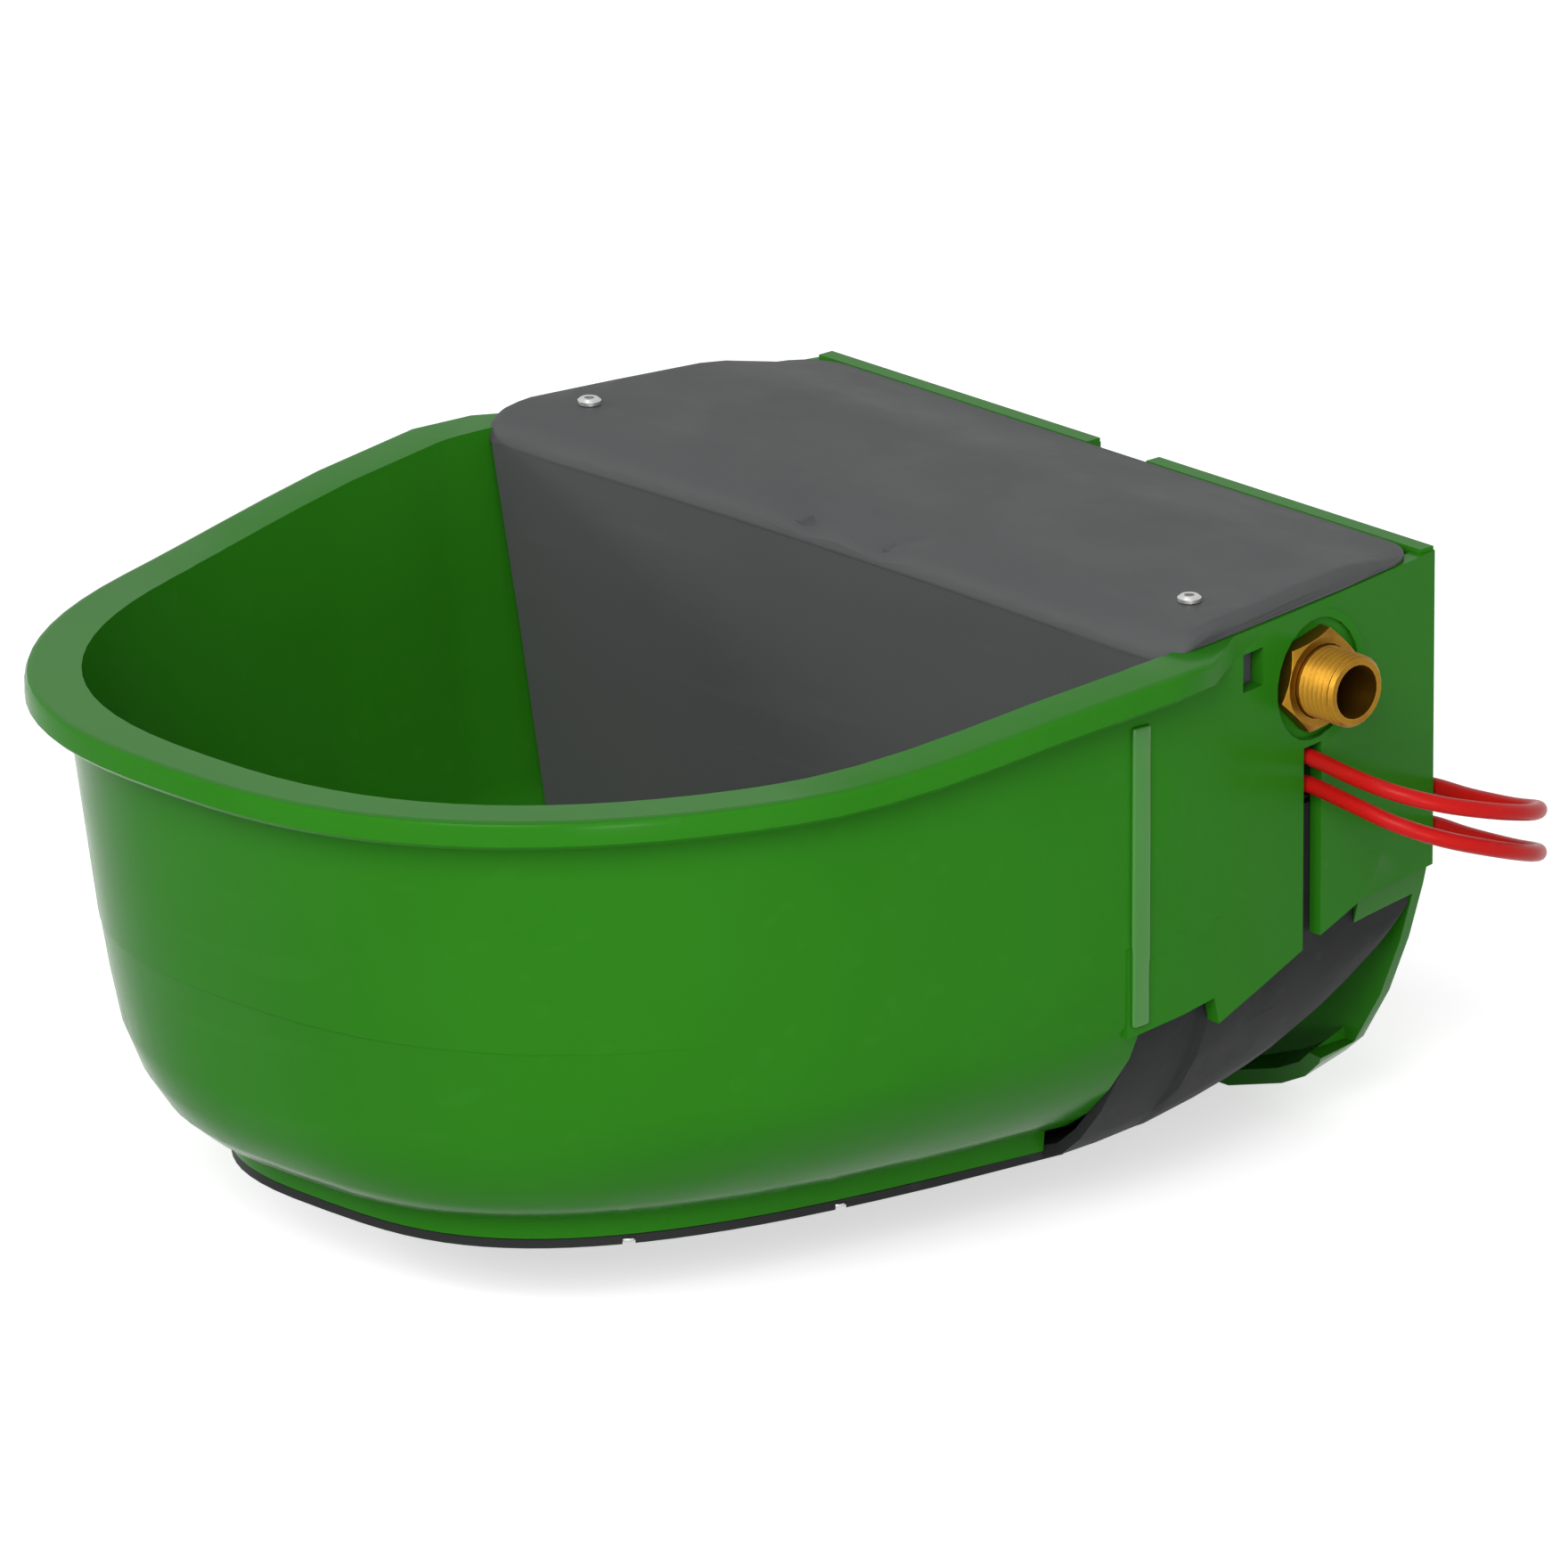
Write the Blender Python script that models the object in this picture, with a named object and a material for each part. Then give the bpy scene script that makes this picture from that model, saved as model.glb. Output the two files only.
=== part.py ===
"""Wall-mounted livestock drinking bowl with a float valve, a frost heater and a pipe heating cable.

Metres, +Z up. The wall is the plane Y = 0 and the bowl stands out towards -Y. A depth below is a
distance in front of the moulding's back face, and a height is measured from the rim at the back.
"""

import math

import bmesh
import bpy
from mathutils import Vector

# Frame
STAND_OFF = 0.008            # back face of the moulding to the wall
PAD_HEIGHT = -0.0925         # height of the middle wall pad, where the origin is
FIT = 0.0003                 # gap between touching pieces
RUN = 0.001                  # gap between pieces that slide past each other
OVERSHOOT = 0.002            # how far a cutter passes a face

# Moulded body
WALL = 0.0044
REAR_HALF = 0.1225           # half width at the wall
CREASE_HALF = 0.144          # half width where the side panels end
CREASE_DEPTH = 0.132
FLARE_POWER = 1.35
FRONT_DEPTH = 0.352          # outer wall under the lip, at the front
FRONT_SQUARENESS = 2.5
FRONT_TAPER = 0.065          # how fast the sides draw in towards the front
LIP_OUT = 0.011
LIP_TALL = 0.008
LIP_START = 0.100            # depth where the rolled lip begins
LIP_RAMP = 0.016
RIM_DROP = 0.0112            # how far the rim falls towards the front
RIM_FALL_FROM = 0.120
RIM_FALL_TO = 0.255
DRAFT_FRONT = 0.0180
FILLET_TOP = -0.102
FILLET_BOTTOM = -0.142
BASE_BOTTOM = -0.150
BASE_HALF = 0.1050
BASE_FRONT = 0.3060
BASE_SQUARENESS = 3.0
BASE_TAPER = 0.11
DEPTH_SQUARENESS = 0.5       # the front is this much squarer in depth than across
BASE_STEP = 0.0025
FLOOR_TOP = -0.138
REAR_FLOOR_TOP = -0.128
CHAMBER_REAR = 0.0056        # front face of the back wall in the float chamber
CHAMBER_FLOOR = -0.100
CHAMBER_LEFT = -0.104
CHAMBER_RIGHT = 0.088
POCKET_TOP = -0.042
BOWL_REAR = 0.084            # where the deep bowl begins under the cover
SIDE_INSET = 0.0092          # the hidden wall stands this far inside the side panels
REAR_TUCK = 0.036            # how far the hidden wall rounds in towards the floor
SIDE_POINTS = 7
FRONT_POINTS = 23

# Side panels
PANEL_EDGE = ((0.000, -0.0920), (0.033, -0.0924), (0.065, -0.1006), (0.100, -0.1110),
              (0.102, -0.1030), (0.132, -0.1060))
SLOT_DEPTH = 0.0581
SLOT_WIDTH = 0.0082
SLOT_TOP = -0.041
WINDOW_DEPTH = 0.0855
WINDOW_WIDTH = 0.009
WINDOW_TOP = -0.0065
WINDOW_TALL = 0.011

# Mounting plate
PLATE_THICK = 0.0044
PLATE_TOP = -0.060
PLATE_OUTLINE = ((0.1222, -0.0600), (0.1222, -0.0850), (0.1188, -0.0985), (0.1133, -0.1156),
                 (0.1056, -0.1333), (0.0954, -0.1495), (0.0884, -0.1555), (0.0770, -0.1615),
                 (0.0520, -0.1705))
FLANGE_DEEP = 0.033
FLANGE_SHALLOW = 0.009
FLANGE_TAPER_FROM = -0.108
PLATE_BOTTOM = -0.174
HOLE_RADIUS = 0.0058
LOWER_HOLE_X = 0.052
LOWER_HOLE_Z = -0.1545
UPPER_HOLE_Z = -0.030
PAD_RADIUS = 0.015
PAD_HALF = 0.018
NOTCH_HALF = 0.012
NOTCH_DEEP = 0.003
BEAD_DEEP = 0.0054           # bead along the top of the back wall, behind the cover
BEAD_TALL = 0.0012

# Cable passage in the back wall
PASSAGE_LEFT = 0.0945
PASSAGE_RIGHT = 0.1168
PASSAGE_TOP = -0.063
PASSAGE_BOTTOM = -0.091

# Float cover
COVER_THICK = 0.003
COVER_GAP = 0.0006
COVER_RISE = 0.0058          # top of the cover above the rim
COVER_REAR = 0.0060          # the back wall's top shows behind the cover
COVER_REAR_RISE = 0.0012     # top of the cover at its back edge
COVER_RAMP = 0.045           # where the cover has risen to its full height
COVER_INSET = 0.0006         # the cover's edge from the outside of the wall
COVER_ROUND = 0.0026         # its rounded upper edge
COVER_CORNER_REAR = 0.013
COVER_CORNER_FRONT = 0.008
COVER_FRONT = 0.114
COVER_BOW = 0.005
COVER_CREASE = 0.0875
CREASE_BOW = 0.0165
CREASE_POWER = 3
BAND_DROP = 0.0042
BAND_EVEN = 0.35             # how much of the drop is even, the rest comes near the front edge
COVER_EDGE_STEPS = (0.0, 0.0006, 0.0022, 0.0050, 0.0075, 0.0100, 0.0140)
COVER_SHARES = 9
RIB_THICK = 0.0025
# Each rib's start, end, height below the rim, and top inside the plate
RIB_SPANS = ((0.020, 0.034, 0.008, 0.0021), (0.0785, 0.0908, 0.0215, 0.003),
             (0.1015, 0.1085, 0.008, 0.003))
SKIRT_THICK = 0.003
SKIRT_TOP = 0.0008           # inside the plate's front edge
SKIRT_BOTTOM = -0.116
SKIRT_LEAN = 0.008
SKIRT_SIDE_GAP = 0.0012
SKIRT_FOOT_ROUND = 0.0060    # what the bowl's fillet takes from the skirt's foot
SCREW_X = 0.1220
SCREW_DEPTH = 0.0940
SCREW_HEAD_RADIUS = 0.0034
SCREW_HEAD_TALL = 0.0017
SCREW_RADIUS = 0.002
SCREW_LENGTH = 0.011
INSERT_RADIUS = 0.0035
INSERT_TALL = 0.010
BOSS_RADIUS = 0.0065
BOSS_TALL = 0.022

# Water inlet, along +X
INLET_DEPTH = 0.057
INLET_Z = -0.022
THREAD_RADIUS = 0.0104775    # G 1/2
BORE_RADIUS = 0.00775
INLET_END = 0.1503
SPOT_FACE_X = 0.1315
SPOT_RADIUS = 0.0175
BOSS_INNER_X = 0.1235
INLET_BOSS_RADIUS = 0.020
NUT_FLATS = 0.026
NUT_THICK = 0.0052
GASKET_THICK = 0.002
GASKET_RADIUS = 0.0145
COLLAR_RADIUS = 0.0145
COLLAR_THICK = 0.006
BARREL_RADIUS = 0.009
BARREL_END = 0.096
NOZZLE_LENGTH = 0.012
NOZZLE_BORE = 0.0018
PLUNGER_RADIUS = 0.0040
PLUNGER_TIP = 0.0013
PLUNGER_PLAY = 0.0005        # between the lever and the plunger's tip
SEAL_THICK = 0.002
GUIDE_RADIUS = 0.0045
EAR_GAP = 0.0042             # half the space between the ears
EAR_THICK = 0.003
PIVOT_X = 0.0840
PIVOT_DROP = 0.010           # pivot below the inlet's axis
PIN_RADIUS = 0.0015
CLIP_RADIUS = 0.0036
CLIP_THICK = 0.0008
ARM_THICK = 0.002
ARM_LENGTH = 0.104
HUB_RADIUS = 0.0042
FLOAT_LONG = 0.074
FLOAT_WIDE = 0.072
FLOAT_TALL = 0.027
FLOAT_ROUND = 0.009
ROD_RADIUS = 0.0025
ROD_RISE = 0.012
WING_SPAN = 0.011

# Under cover
TRAY_WALL = 0.003
TRAY_GAP = 0.0006
TRAY_REAR = 0.0060
TRAY_FRONT = 0.1314
TRAY_LAP = 0.0090            # how far it rises behind the side panels
TRAY_TAB_TOP = -0.0600
TRAY_TAB_HALF = 0.0085
TRAY_ROUND_TOP = -0.106
TRAY_RISE = 0.055
TRAY_PLATE = 0.0026
SHOE_SCREW_RADIUS = 0.0030
SHOE_SCREW_TALL = 0.0012
SHANK_SHARE = 0.55
SHOE_SCREW_LENGTH = 0.0090

# Heating, under the bowl's floor
HEATER_SIDE_GAP = 0.039      # from the base's edges and the crease to the heat plate
HEATER_REAR_GAP = 0.020
HEATER_FRONT_GAP = 0.044
HEATER_X = BASE_HALF - HEATER_SIDE_GAP
HEATER_DEPTH = (CREASE_DEPTH + 2 * WALL + HEATER_REAR_GAP, BASE_FRONT - HEATER_FRONT_GAP)
HEATER_THICK = 0.001
FLOOR_CABLE_RADIUS = 0.0013
FLOOR_CABLE_RUNS = 5
DRAIN_DEPTH = 0.205
DRAIN_RADIUS = 0.012
DRAIN_HEAD_RADIUS = 0.018
DRAIN_HEAD_TALL = 0.003
DRAIN_RING_THICK = 0.0015
DRAIN_TUBE = 0.0024          # wall of the outlet below the drain
DRAIN_TUBE_OUT = 0.003       # how far the outlet passes the under cover
THERMOSTAT_LOW = (0.022, 0.034, -0.1250)
THERMOSTAT_HIGH = (0.070, 0.066, -0.1080)
GLAND_X = -0.060
GLAND_DEPTH = 0.055
GLAND_PAD_RADIUS = 0.0125
GLAND_THREAD = 0.0078

# Pipe heating cable: x, depth, height, from the control box out through the slot, round behind
# the moulding, in through the passage, round again and back to the control box
CABLE_RADIUS = 0.00235
CABLE_ROUTE = (
    (0.0706, 0.058, -0.1165), (0.0790, 0.058, -0.1165), (0.0905, 0.058, -0.1140),
    (0.0990, 0.058, -0.1030), (0.1005, 0.058, -0.0850), (0.1025, 0.058, -0.0650),
    (0.1110, 0.058, -0.0495), (0.1240, 0.058, -0.0450), (0.1370, 0.058, -0.0452),
    (0.1500, 0.058, -0.0465), (0.1630, 0.054, -0.0490), (0.1720, 0.044, -0.0525),
    (0.1762, 0.028, -0.0570), (0.1727, 0.011, -0.0620), (0.1630, -0.001, -0.0660),
    (0.1500, -0.004, -0.0690), (0.1330, -0.004, -0.0705), (0.1180, -0.004, -0.0710),
    (0.1070, 0.001, -0.0710), (0.1010, 0.012, -0.0705), (0.1000, 0.026, -0.0690),
    (0.1015, 0.040, -0.0640), (0.1080, 0.052, -0.0575), (0.1200, 0.058, -0.0535),
    (0.1340, 0.058, -0.0530), (0.1500, 0.058, -0.0545), (0.1630, 0.054, -0.0580),
    (0.1720, 0.044, -0.0625), (0.1762, 0.028, -0.0680), (0.1727, 0.011, -0.0740),
    (0.1630, -0.001, -0.0785), (0.1500, -0.004, -0.0810), (0.1330, -0.004, -0.0820),
    (0.1180, -0.004, -0.0822), (0.1070, 0.001, -0.0825), (0.1010, 0.012, -0.0850),
    (0.1000, 0.025, -0.0920), (0.0975, 0.034, -0.1040), (0.0890, 0.0395, -0.1145),
    (0.0790, 0.0415, -0.1165), (0.0706, 0.0415, -0.1165))
CABLE_STEP = 0.011

ROUND = 24


def place(x, depth, height):
    """A point of the object from its distance across, its depth and its height."""
    return Vector((x, -(depth + STAND_OFF), height - PAD_HEIGHT))


def finish_material(name, colour, roughness, metallic=0.0):
    """A plain surface of one colour."""
    material = bpy.data.materials.new(name)
    material.use_nodes = True
    shader = material.node_tree.nodes["Principled BSDF"]
    shader.inputs["Base Color"].default_value = (*colour, 1.0)
    shader.inputs["Roughness"].default_value = roughness
    shader.inputs["Metallic"].default_value = metallic
    material.diffuse_color = (*colour, 1.0)
    return material


def clear_scene():
    for old in list(bpy.data.objects):
        bpy.data.objects.remove(old, do_unlink=True)


def add_mesh(name, points, faces, material=None):
    """A mesh object whose faces are turned outwards."""
    mesh = bpy.data.meshes.new(name)
    shape = bmesh.new()
    corners = [shape.verts.new(point) for point in points]
    for face in faces:
        shape.faces.new([corners[index] for index in face])
    bmesh.ops.recalc_face_normals(shape, faces=shape.faces)
    shape.to_mesh(mesh)
    shape.free()
    item = bpy.data.objects.new(name, mesh)
    bpy.context.scene.collection.objects.link(item)
    if material:
        mesh.materials.append(material)
    return item


def loft(name, rings, material=None, strips=False):
    """A closed solid through rings of equally many points, with a face at each end.

    An end is made of strips where it isn't flat. They join the ring's two halves, point by point.
    """
    count = len(rings[0])
    points = [point for ring in rings for point in ring]
    faces = []
    for level in range(len(rings) - 1):
        for index in range(count):
            after = (index + 1) % count
            low = level * count
            faces.append((low + index, low + after, low + count + after, low + count + index))
    for first in (0, (len(rings) - 1) * count):
        if strips:
            for index in range((count - 1) // 2):
                back = count - 1 - index
                face = [first + index, first + index + 1, first + back - 1, first + back]
                faces.append(face if index + 1 < back - 1 else face[:2] + face[3:])
        else:
            faces.append(tuple(range(first, first + count)))
    return add_mesh(name, points, faces, material)


def block(name, low, high, material=None):
    """A box between two corners given across, in depth and in height."""
    rings = []
    for height in (low[2], high[2]):
        rings.append([place(low[0], low[1], height), place(high[0], low[1], height),
                      place(high[0], high[1], height), place(low[0], high[1], height)])
    return loft(name, rings, material)


def turned(name, centre, axis, profile, material=None, segments=ROUND):
    """A solid of revolution. The profile gives distances along the axis and radii."""
    direction = Vector(axis).normalized()
    across = direction.orthogonal().normalized()
    beside = direction.cross(across)
    rings = []
    for along, radius in profile:
        ring = []
        for step in range(segments):
            angle = 2 * math.pi * (step + 0.5) / segments
            offset = across * math.cos(angle) + beside * math.sin(angle)
            ring.append(centre + direction * along + offset * radius)
        rings.append(ring)
    return loft(name, rings, material)


def rod(name, centre, axis, start, end, radius, material=None, segments=ROUND):
    """A cylinder between two distances along an axis."""
    return turned(name, centre, axis, ((start, radius), (end, radius)), material, segments)


def combine(target, tool, operation):
    """Adds a solid to another, or cuts it away, and removes the tool."""
    change = target.modifiers.new("combine", 'BOOLEAN')
    change.operation = operation
    change.object = tool
    change.solver = 'EXACT'
    bpy.context.view_layer.update()
    graph = bpy.context.evaluated_depsgraph_get()
    result = bpy.data.meshes.new_from_object(target.evaluated_get(graph))
    target.modifiers.clear()
    target.data = result
    bpy.data.objects.remove(tool, do_unlink=True)


def add(target, *tools):
    for tool in tools:
        combine(target, tool, 'UNION')


def cut(target, *tools):
    for tool in tools:
        combine(target, tool, 'DIFFERENCE')


def shade(item):
    item.data.shade_smooth()
    item.data.set_sharp_from_angle(angle=math.radians(32))


def dress(item, material):
    item.data.materials.clear()
    item.data.materials.append(material)
    for face in item.data.polygons:
        face.material_index = 0
    shade(item)


def side_half(depth):
    """Half the outer width of the side panels at a depth."""
    share = min(max(depth / CREASE_DEPTH, 0.0), 1.0)
    return REAR_HALF + (CREASE_HALF - REAR_HALF) * (1 - (1 - share) ** FLARE_POWER)


def rim_height(depth):
    """Height of the rim, which falls smoothly from the cover to the front."""
    share = min(max((depth - RIM_FALL_FROM) / (RIM_FALL_TO - RIM_FALL_FROM), 0.0), 1.0)
    return -RIM_DROP * share * share * (3 - 2 * share)


def lip_share(depth):
    share = min(max((depth - LIP_START) / LIP_RAMP, 0.0), 1.0)
    return share * share * (3 - 2 * share)


def panel_edge(depth):
    """Height of the side panel's lower edge."""
    for (near, low), (far, high) in zip(PANEL_EDGE, PANEL_EDGE[1:]):
        if near <= depth <= far:
            return low + (high - low) * (depth - near) / (far - near)
    return PANEL_EDGE[-1][1]


def front_taper(squareness):
    """How fast the sides draw in, from the rim's value to the base's."""
    share = (squareness - FRONT_SQUARENESS) / (BASE_SQUARENESS - FRONT_SQUARENESS)
    return FRONT_TAPER + (BASE_TAPER - FRONT_TAPER) * share


def front_point(half, front, squareness, turn, start=CREASE_DEPTH):
    """A point of the round front. The turn runs from 0 at the side to 1 at the middle."""
    angle = turn * math.pi / 2
    along = (front - start) * math.sin(angle) ** (2 / (squareness + DEPTH_SQUARENESS))
    narrowed = half - front_taper(squareness) * along
    return narrowed * max(math.cos(angle), 0.0) ** (2 / squareness), start + along


def turns():
    return [(step + 1) / FRONT_POINTS for step in range(FRONT_POINTS)]


def mirrored(right):
    """Points for both sides from those of the right side, whose last one is in the middle."""
    left = [Vector((-point.x, point.y, point.z)) for point in reversed(right[:-1])]
    return right + left


def side_depths(start):
    return [start + (CREASE_DEPTH - start) * step / SIDE_POINTS for step in range(SIDE_POINTS)]


def outer_level(height, half, front, squareness, lip=0.0, rim=0.0):
    """One level of the outer surface. The rim share makes it follow the falling rim."""
    right = []
    for depth in side_depths(0.0) + [CREASE_DEPTH]:
        across = side_half(depth) * half / CREASE_HALF + lip * lip_share(depth)
        right.append(place(across, depth, height + rim * rim_height(depth)))
    for turn in turns():
        across, depth = front_point(half + lip, front + lip, squareness, turn)
        right.append(place(across, depth, height + rim * rim_height(depth)))
    return mirrored(right)


def lower_profile():
    """Heights with half widths, front depths and squareness, from the lip down to the base."""
    levels = [(FILLET_TOP, CREASE_HALF, FRONT_DEPTH - DRAFT_FRONT, FRONT_SQUARENESS)]
    steps = 5
    for step in range(1, steps + 1):
        angle = step / steps * math.pi / 2
        drop = math.sin(angle)
        chamfer = drop ** 1.25
        pull = 1 - math.cos(angle)
        side = pull * 0.45 + chamfer * 0.55
        start = FRONT_DEPTH - DRAFT_FRONT
        levels.append((FILLET_TOP + (FILLET_BOTTOM - FILLET_TOP) * drop,
                       CREASE_HALF + (BASE_HALF + BASE_STEP - CREASE_HALF) * side,
                       start + (BASE_FRONT + BASE_STEP - start) * pull,
                       FRONT_SQUARENESS + (BASE_SQUARENESS - FRONT_SQUARENESS) * pull))
    return levels


def hidden_level(level, height):
    """A level of the body below the side panels: full in front, drawn in behind the crease."""
    rise, half, front, squareness = level
    share = (height - FILLET_TOP) / (BASE_BOTTOM - FILLET_TOP)
    share = min(max(share, 0.0), 1.0)
    lift = (REAR_FLOOR_TOP - WALL - BASE_BOTTOM) * share
    tuck = REAR_TUCK * (1 - math.sqrt(max(1 - share * share, 0.0)))
    right = []
    rear = BOWL_REAR - WALL
    for step in range(SIDE_POINTS + 1):
        depth = rear + (CREASE_DEPTH - 0.0003 - rear) * step / SIDE_POINTS
        right.append(place(side_half(depth) - SIDE_INSET - tuck, depth, height + lift))
    right.append(place(half, CREASE_DEPTH, height))
    for turn in turns():
        across, depth = front_point(half, front, squareness, turn)
        right.append(place(across, depth, height))
    return mirrored(right)


def bowl_cutter():
    """The deep water space in front of the float chamber."""
    rings = []
    inner = CREASE_HALF - WALL
    front = FRONT_DEPTH - WALL
    steps = 5
    levels = [(0.004, inner, front, 1.0, 0.0), (-0.020, inner, front, 1.0, 0.0),
              (FILLET_TOP, inner, front - DRAFT_FRONT, 0.0, 0.0)]
    for step in range(1, steps + 1):
        angle = step / steps * math.pi / 2
        pull = 1 - math.cos(angle)
        height = FILLET_TOP + (FLOOR_TOP - FILLET_TOP) * math.sin(angle)
        levels.append((height, inner + (BASE_HALF - 0.004 - inner) * pull,
                       front - DRAFT_FRONT + (BASE_FRONT - WALL - front + DRAFT_FRONT) * pull,
                       0.0, pull))
    for height, half, reach, rim, pull in levels:
        share = min(max((height - FILLET_TOP) / (FLOOR_TOP - FILLET_TOP), 0.0), 1.0)
        lift = (REAR_FLOOR_TOP - FLOOR_TOP) * share
        below = min(max((height + 0.085) / (FILLET_TOP + 0.085), 0.0), 1.0)
        right = []
        for step in range(SIDE_POINTS + 1):
            depth = BOWL_REAR + (CREASE_DEPTH + 0.004 - BOWL_REAR) * step / SIDE_POINTS
            across = side_half(depth) - WALL - SIDE_INSET * below - REAR_TUCK * pull
            right.append(place(across, depth, height + lift))
        squareness = FRONT_SQUARENESS + (BASE_SQUARENESS - FRONT_SQUARENESS) * pull
        for turn in turns():
            across, depth = front_point(half - SIDE_INSET * below * 0.6, reach, squareness, turn,
                                        CREASE_DEPTH + 0.004)
            fall = rim * rim_height(depth)
            right.append(place(across, depth, height + fall))
        rings.append(mirrored(right))
    return loft("bowl_cutter", rings, strips=True)


def side_plan(inset, start, end, steps=SIDE_POINTS):
    """Plan points of the right side between two depths, drawn in from the panel's outside."""
    found = []
    for step in range(steps + 1):
        depth = start + (end - start) * step / steps
        found.append((side_half(depth) - inset, depth))
    return found


def plan_prism(name, plan, low, high, material=None):
    rings = [[place(x, depth, height) for x, depth in plan] for height in (low, high)]
    return loft(name, rings, material)


def both_sides(plan):
    return plan + [(-x, depth) for x, depth in reversed(plan)]


def side_wall(sign):
    """A side panel that hangs outside the under cover."""
    lower = sorted({depth for depth, _ in PANEL_EDGE} | {0.015, 0.048, 0.082, 0.116})
    lower[-1] += 0.006
    top = -0.080
    rings = []
    for depth in lower:
        out = side_half(depth)
        edge = panel_edge(depth)
        rings.append([place(sign * out, depth, top), place(sign * out, depth, edge),
                      place(sign * (out - WALL), depth, edge),
                      place(sign * (out - WALL), depth, top)])
    return loft("side_wall", rings)


def flange_depth(height):
    share = min(max((FLANGE_TAPER_FROM - height) / (FLANGE_TAPER_FROM - PLATE_BOTTOM), 0.0), 1.0)
    return FLANGE_DEEP + (FLANGE_SHALLOW - FLANGE_DEEP) * share ** 1.4


def mounting_plate():
    """The back plate with its edge flange, which is drafted outwards."""
    right = [Vector((x, z)) for x, z in PLATE_OUTLINE]
    outline = right + [Vector((-point.x, point.y)) for point in reversed(right)]
    centre = Vector((0.0, -0.100))
    rings = [[], [], [], []]
    for index, point in enumerate(outline):
        before = outline[index - 1]
        after = outline[(index + 1) % len(outline)]
        along = (after - before).normalized()
        outward = Vector((along.y, -along.x))
        if outward.dot(point - centre) < 0:
            outward = -outward
        deep = flange_depth(point.y)
        if point.y > PLATE_TOP - OVERSHOOT:
            outward = Vector((math.copysign(1.0, point.x), 1.0))
            deep = PLATE_THICK + OVERSHOOT
        flare = side_half(deep) - REAR_HALF - 0.0002
        inner = point - outward * PLATE_THICK
        spread = point + outward * flare
        spread_inner = spread - outward * PLATE_THICK
        rings[0].append(place(point.x, 0.0, point.y))
        rings[1].append(place(spread.x, deep, spread.y))
        rings[2].append(place(spread_inner.x, deep, spread_inner.y))
        rings[3].append(place(inner.x, PLATE_THICK, inner.y))
    return loft("mounting_plate", rings)


def trough_body(material):
    """The moulded bowl with its float chamber, side panels and mounting plate."""
    rim = 1.0
    half = CREASE_HALF
    front = FRONT_DEPTH
    square = FRONT_SQUARENESS
    upper = [outer_level(0.0, half, front, square, LIP_OUT - 0.0022, rim),
             outer_level(-0.0006, half, front, square, LIP_OUT - 0.0006, rim),
             outer_level(-0.0022, half, front, square, LIP_OUT, rim),
             outer_level(-LIP_TALL + 0.0012, half, front, square, LIP_OUT, rim),
             outer_level(-LIP_TALL, half, front, square, LIP_OUT - 0.0012, rim),
             outer_level(-LIP_TALL - 0.0004, half, front, square, 0.0012, rim),
             outer_level(-LIP_TALL - 0.0022, half, front, square, 0.0, rim),
             outer_level(-0.084, half, front - DRAFT_FRONT * 0.72, square)]
    body = loft("trough_body", upper, strips=True)
    levels = [(-0.080, half, front - DRAFT_FRONT * 0.68, square)] + lower_profile()
    levels.append((FILLET_BOTTOM, BASE_HALF, BASE_FRONT, BASE_SQUARENESS))
    levels.append((BASE_BOTTOM, BASE_HALF - 0.0008, BASE_FRONT - 0.0008, BASE_SQUARENESS))
    rings = [hidden_level(level, level[0]) for level in levels]
    add(body, loft("lower_hull", rings, strips=True))
    lower_box = block("chamber_hull", (CHAMBER_LEFT - WALL, 0.0, CHAMBER_FLOOR - WALL),
                      (CHAMBER_RIGHT + WALL, BOWL_REAR, -0.080))
    add(body, lower_box, side_wall(1), side_wall(-1), mounting_plate())

    cut(body, bowl_cutter())
    top_plan = both_sides(side_plan(WALL + FIT, CHAMBER_REAR, BOWL_REAR + OVERSHOOT))
    cut(body, plan_prism("chamber_top", top_plan, POCKET_TOP + WALL, 0.004))
    cut(body, block("chamber_low", (CHAMBER_LEFT, CHAMBER_REAR, CHAMBER_FLOOR),
                    (CHAMBER_RIGHT, BOWL_REAR + OVERSHOOT, POCKET_TOP + 0.006)))
    for sign, wall in ((1, CHAMBER_RIGHT + WALL), (-1, -CHAMBER_LEFT + WALL)):
        plan = [(wall, BOWL_REAR - WALL), (wall, PLATE_THICK)]
        plan += side_plan(WALL, PLATE_THICK, BOWL_REAR - WALL)
        plan = [(sign * x, depth) for x, depth in plan]
        cut(body, plan_prism("dry_pocket", plan, BASE_BOTTOM, POCKET_TOP))
    recess = [(BASE_HALF - 2 * WALL, CREASE_DEPTH + 2 * WALL)]
    for turn in turns():
        recess.append(front_point(BASE_HALF - 2 * WALL, BASE_FRONT - 2 * WALL, BASE_SQUARENESS,
                                  turn, CREASE_DEPTH + 2 * WALL))
    recess = recess + [(-x, depth) for x, depth in reversed(recess[:-1])]
    cut(body, plan_prism("heater_recess", recess, BASE_BOTTOM - OVERSHOOT, FLOOR_TOP - WALL))
    add_body_details(body)
    dress(body, material)
    return body


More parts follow.
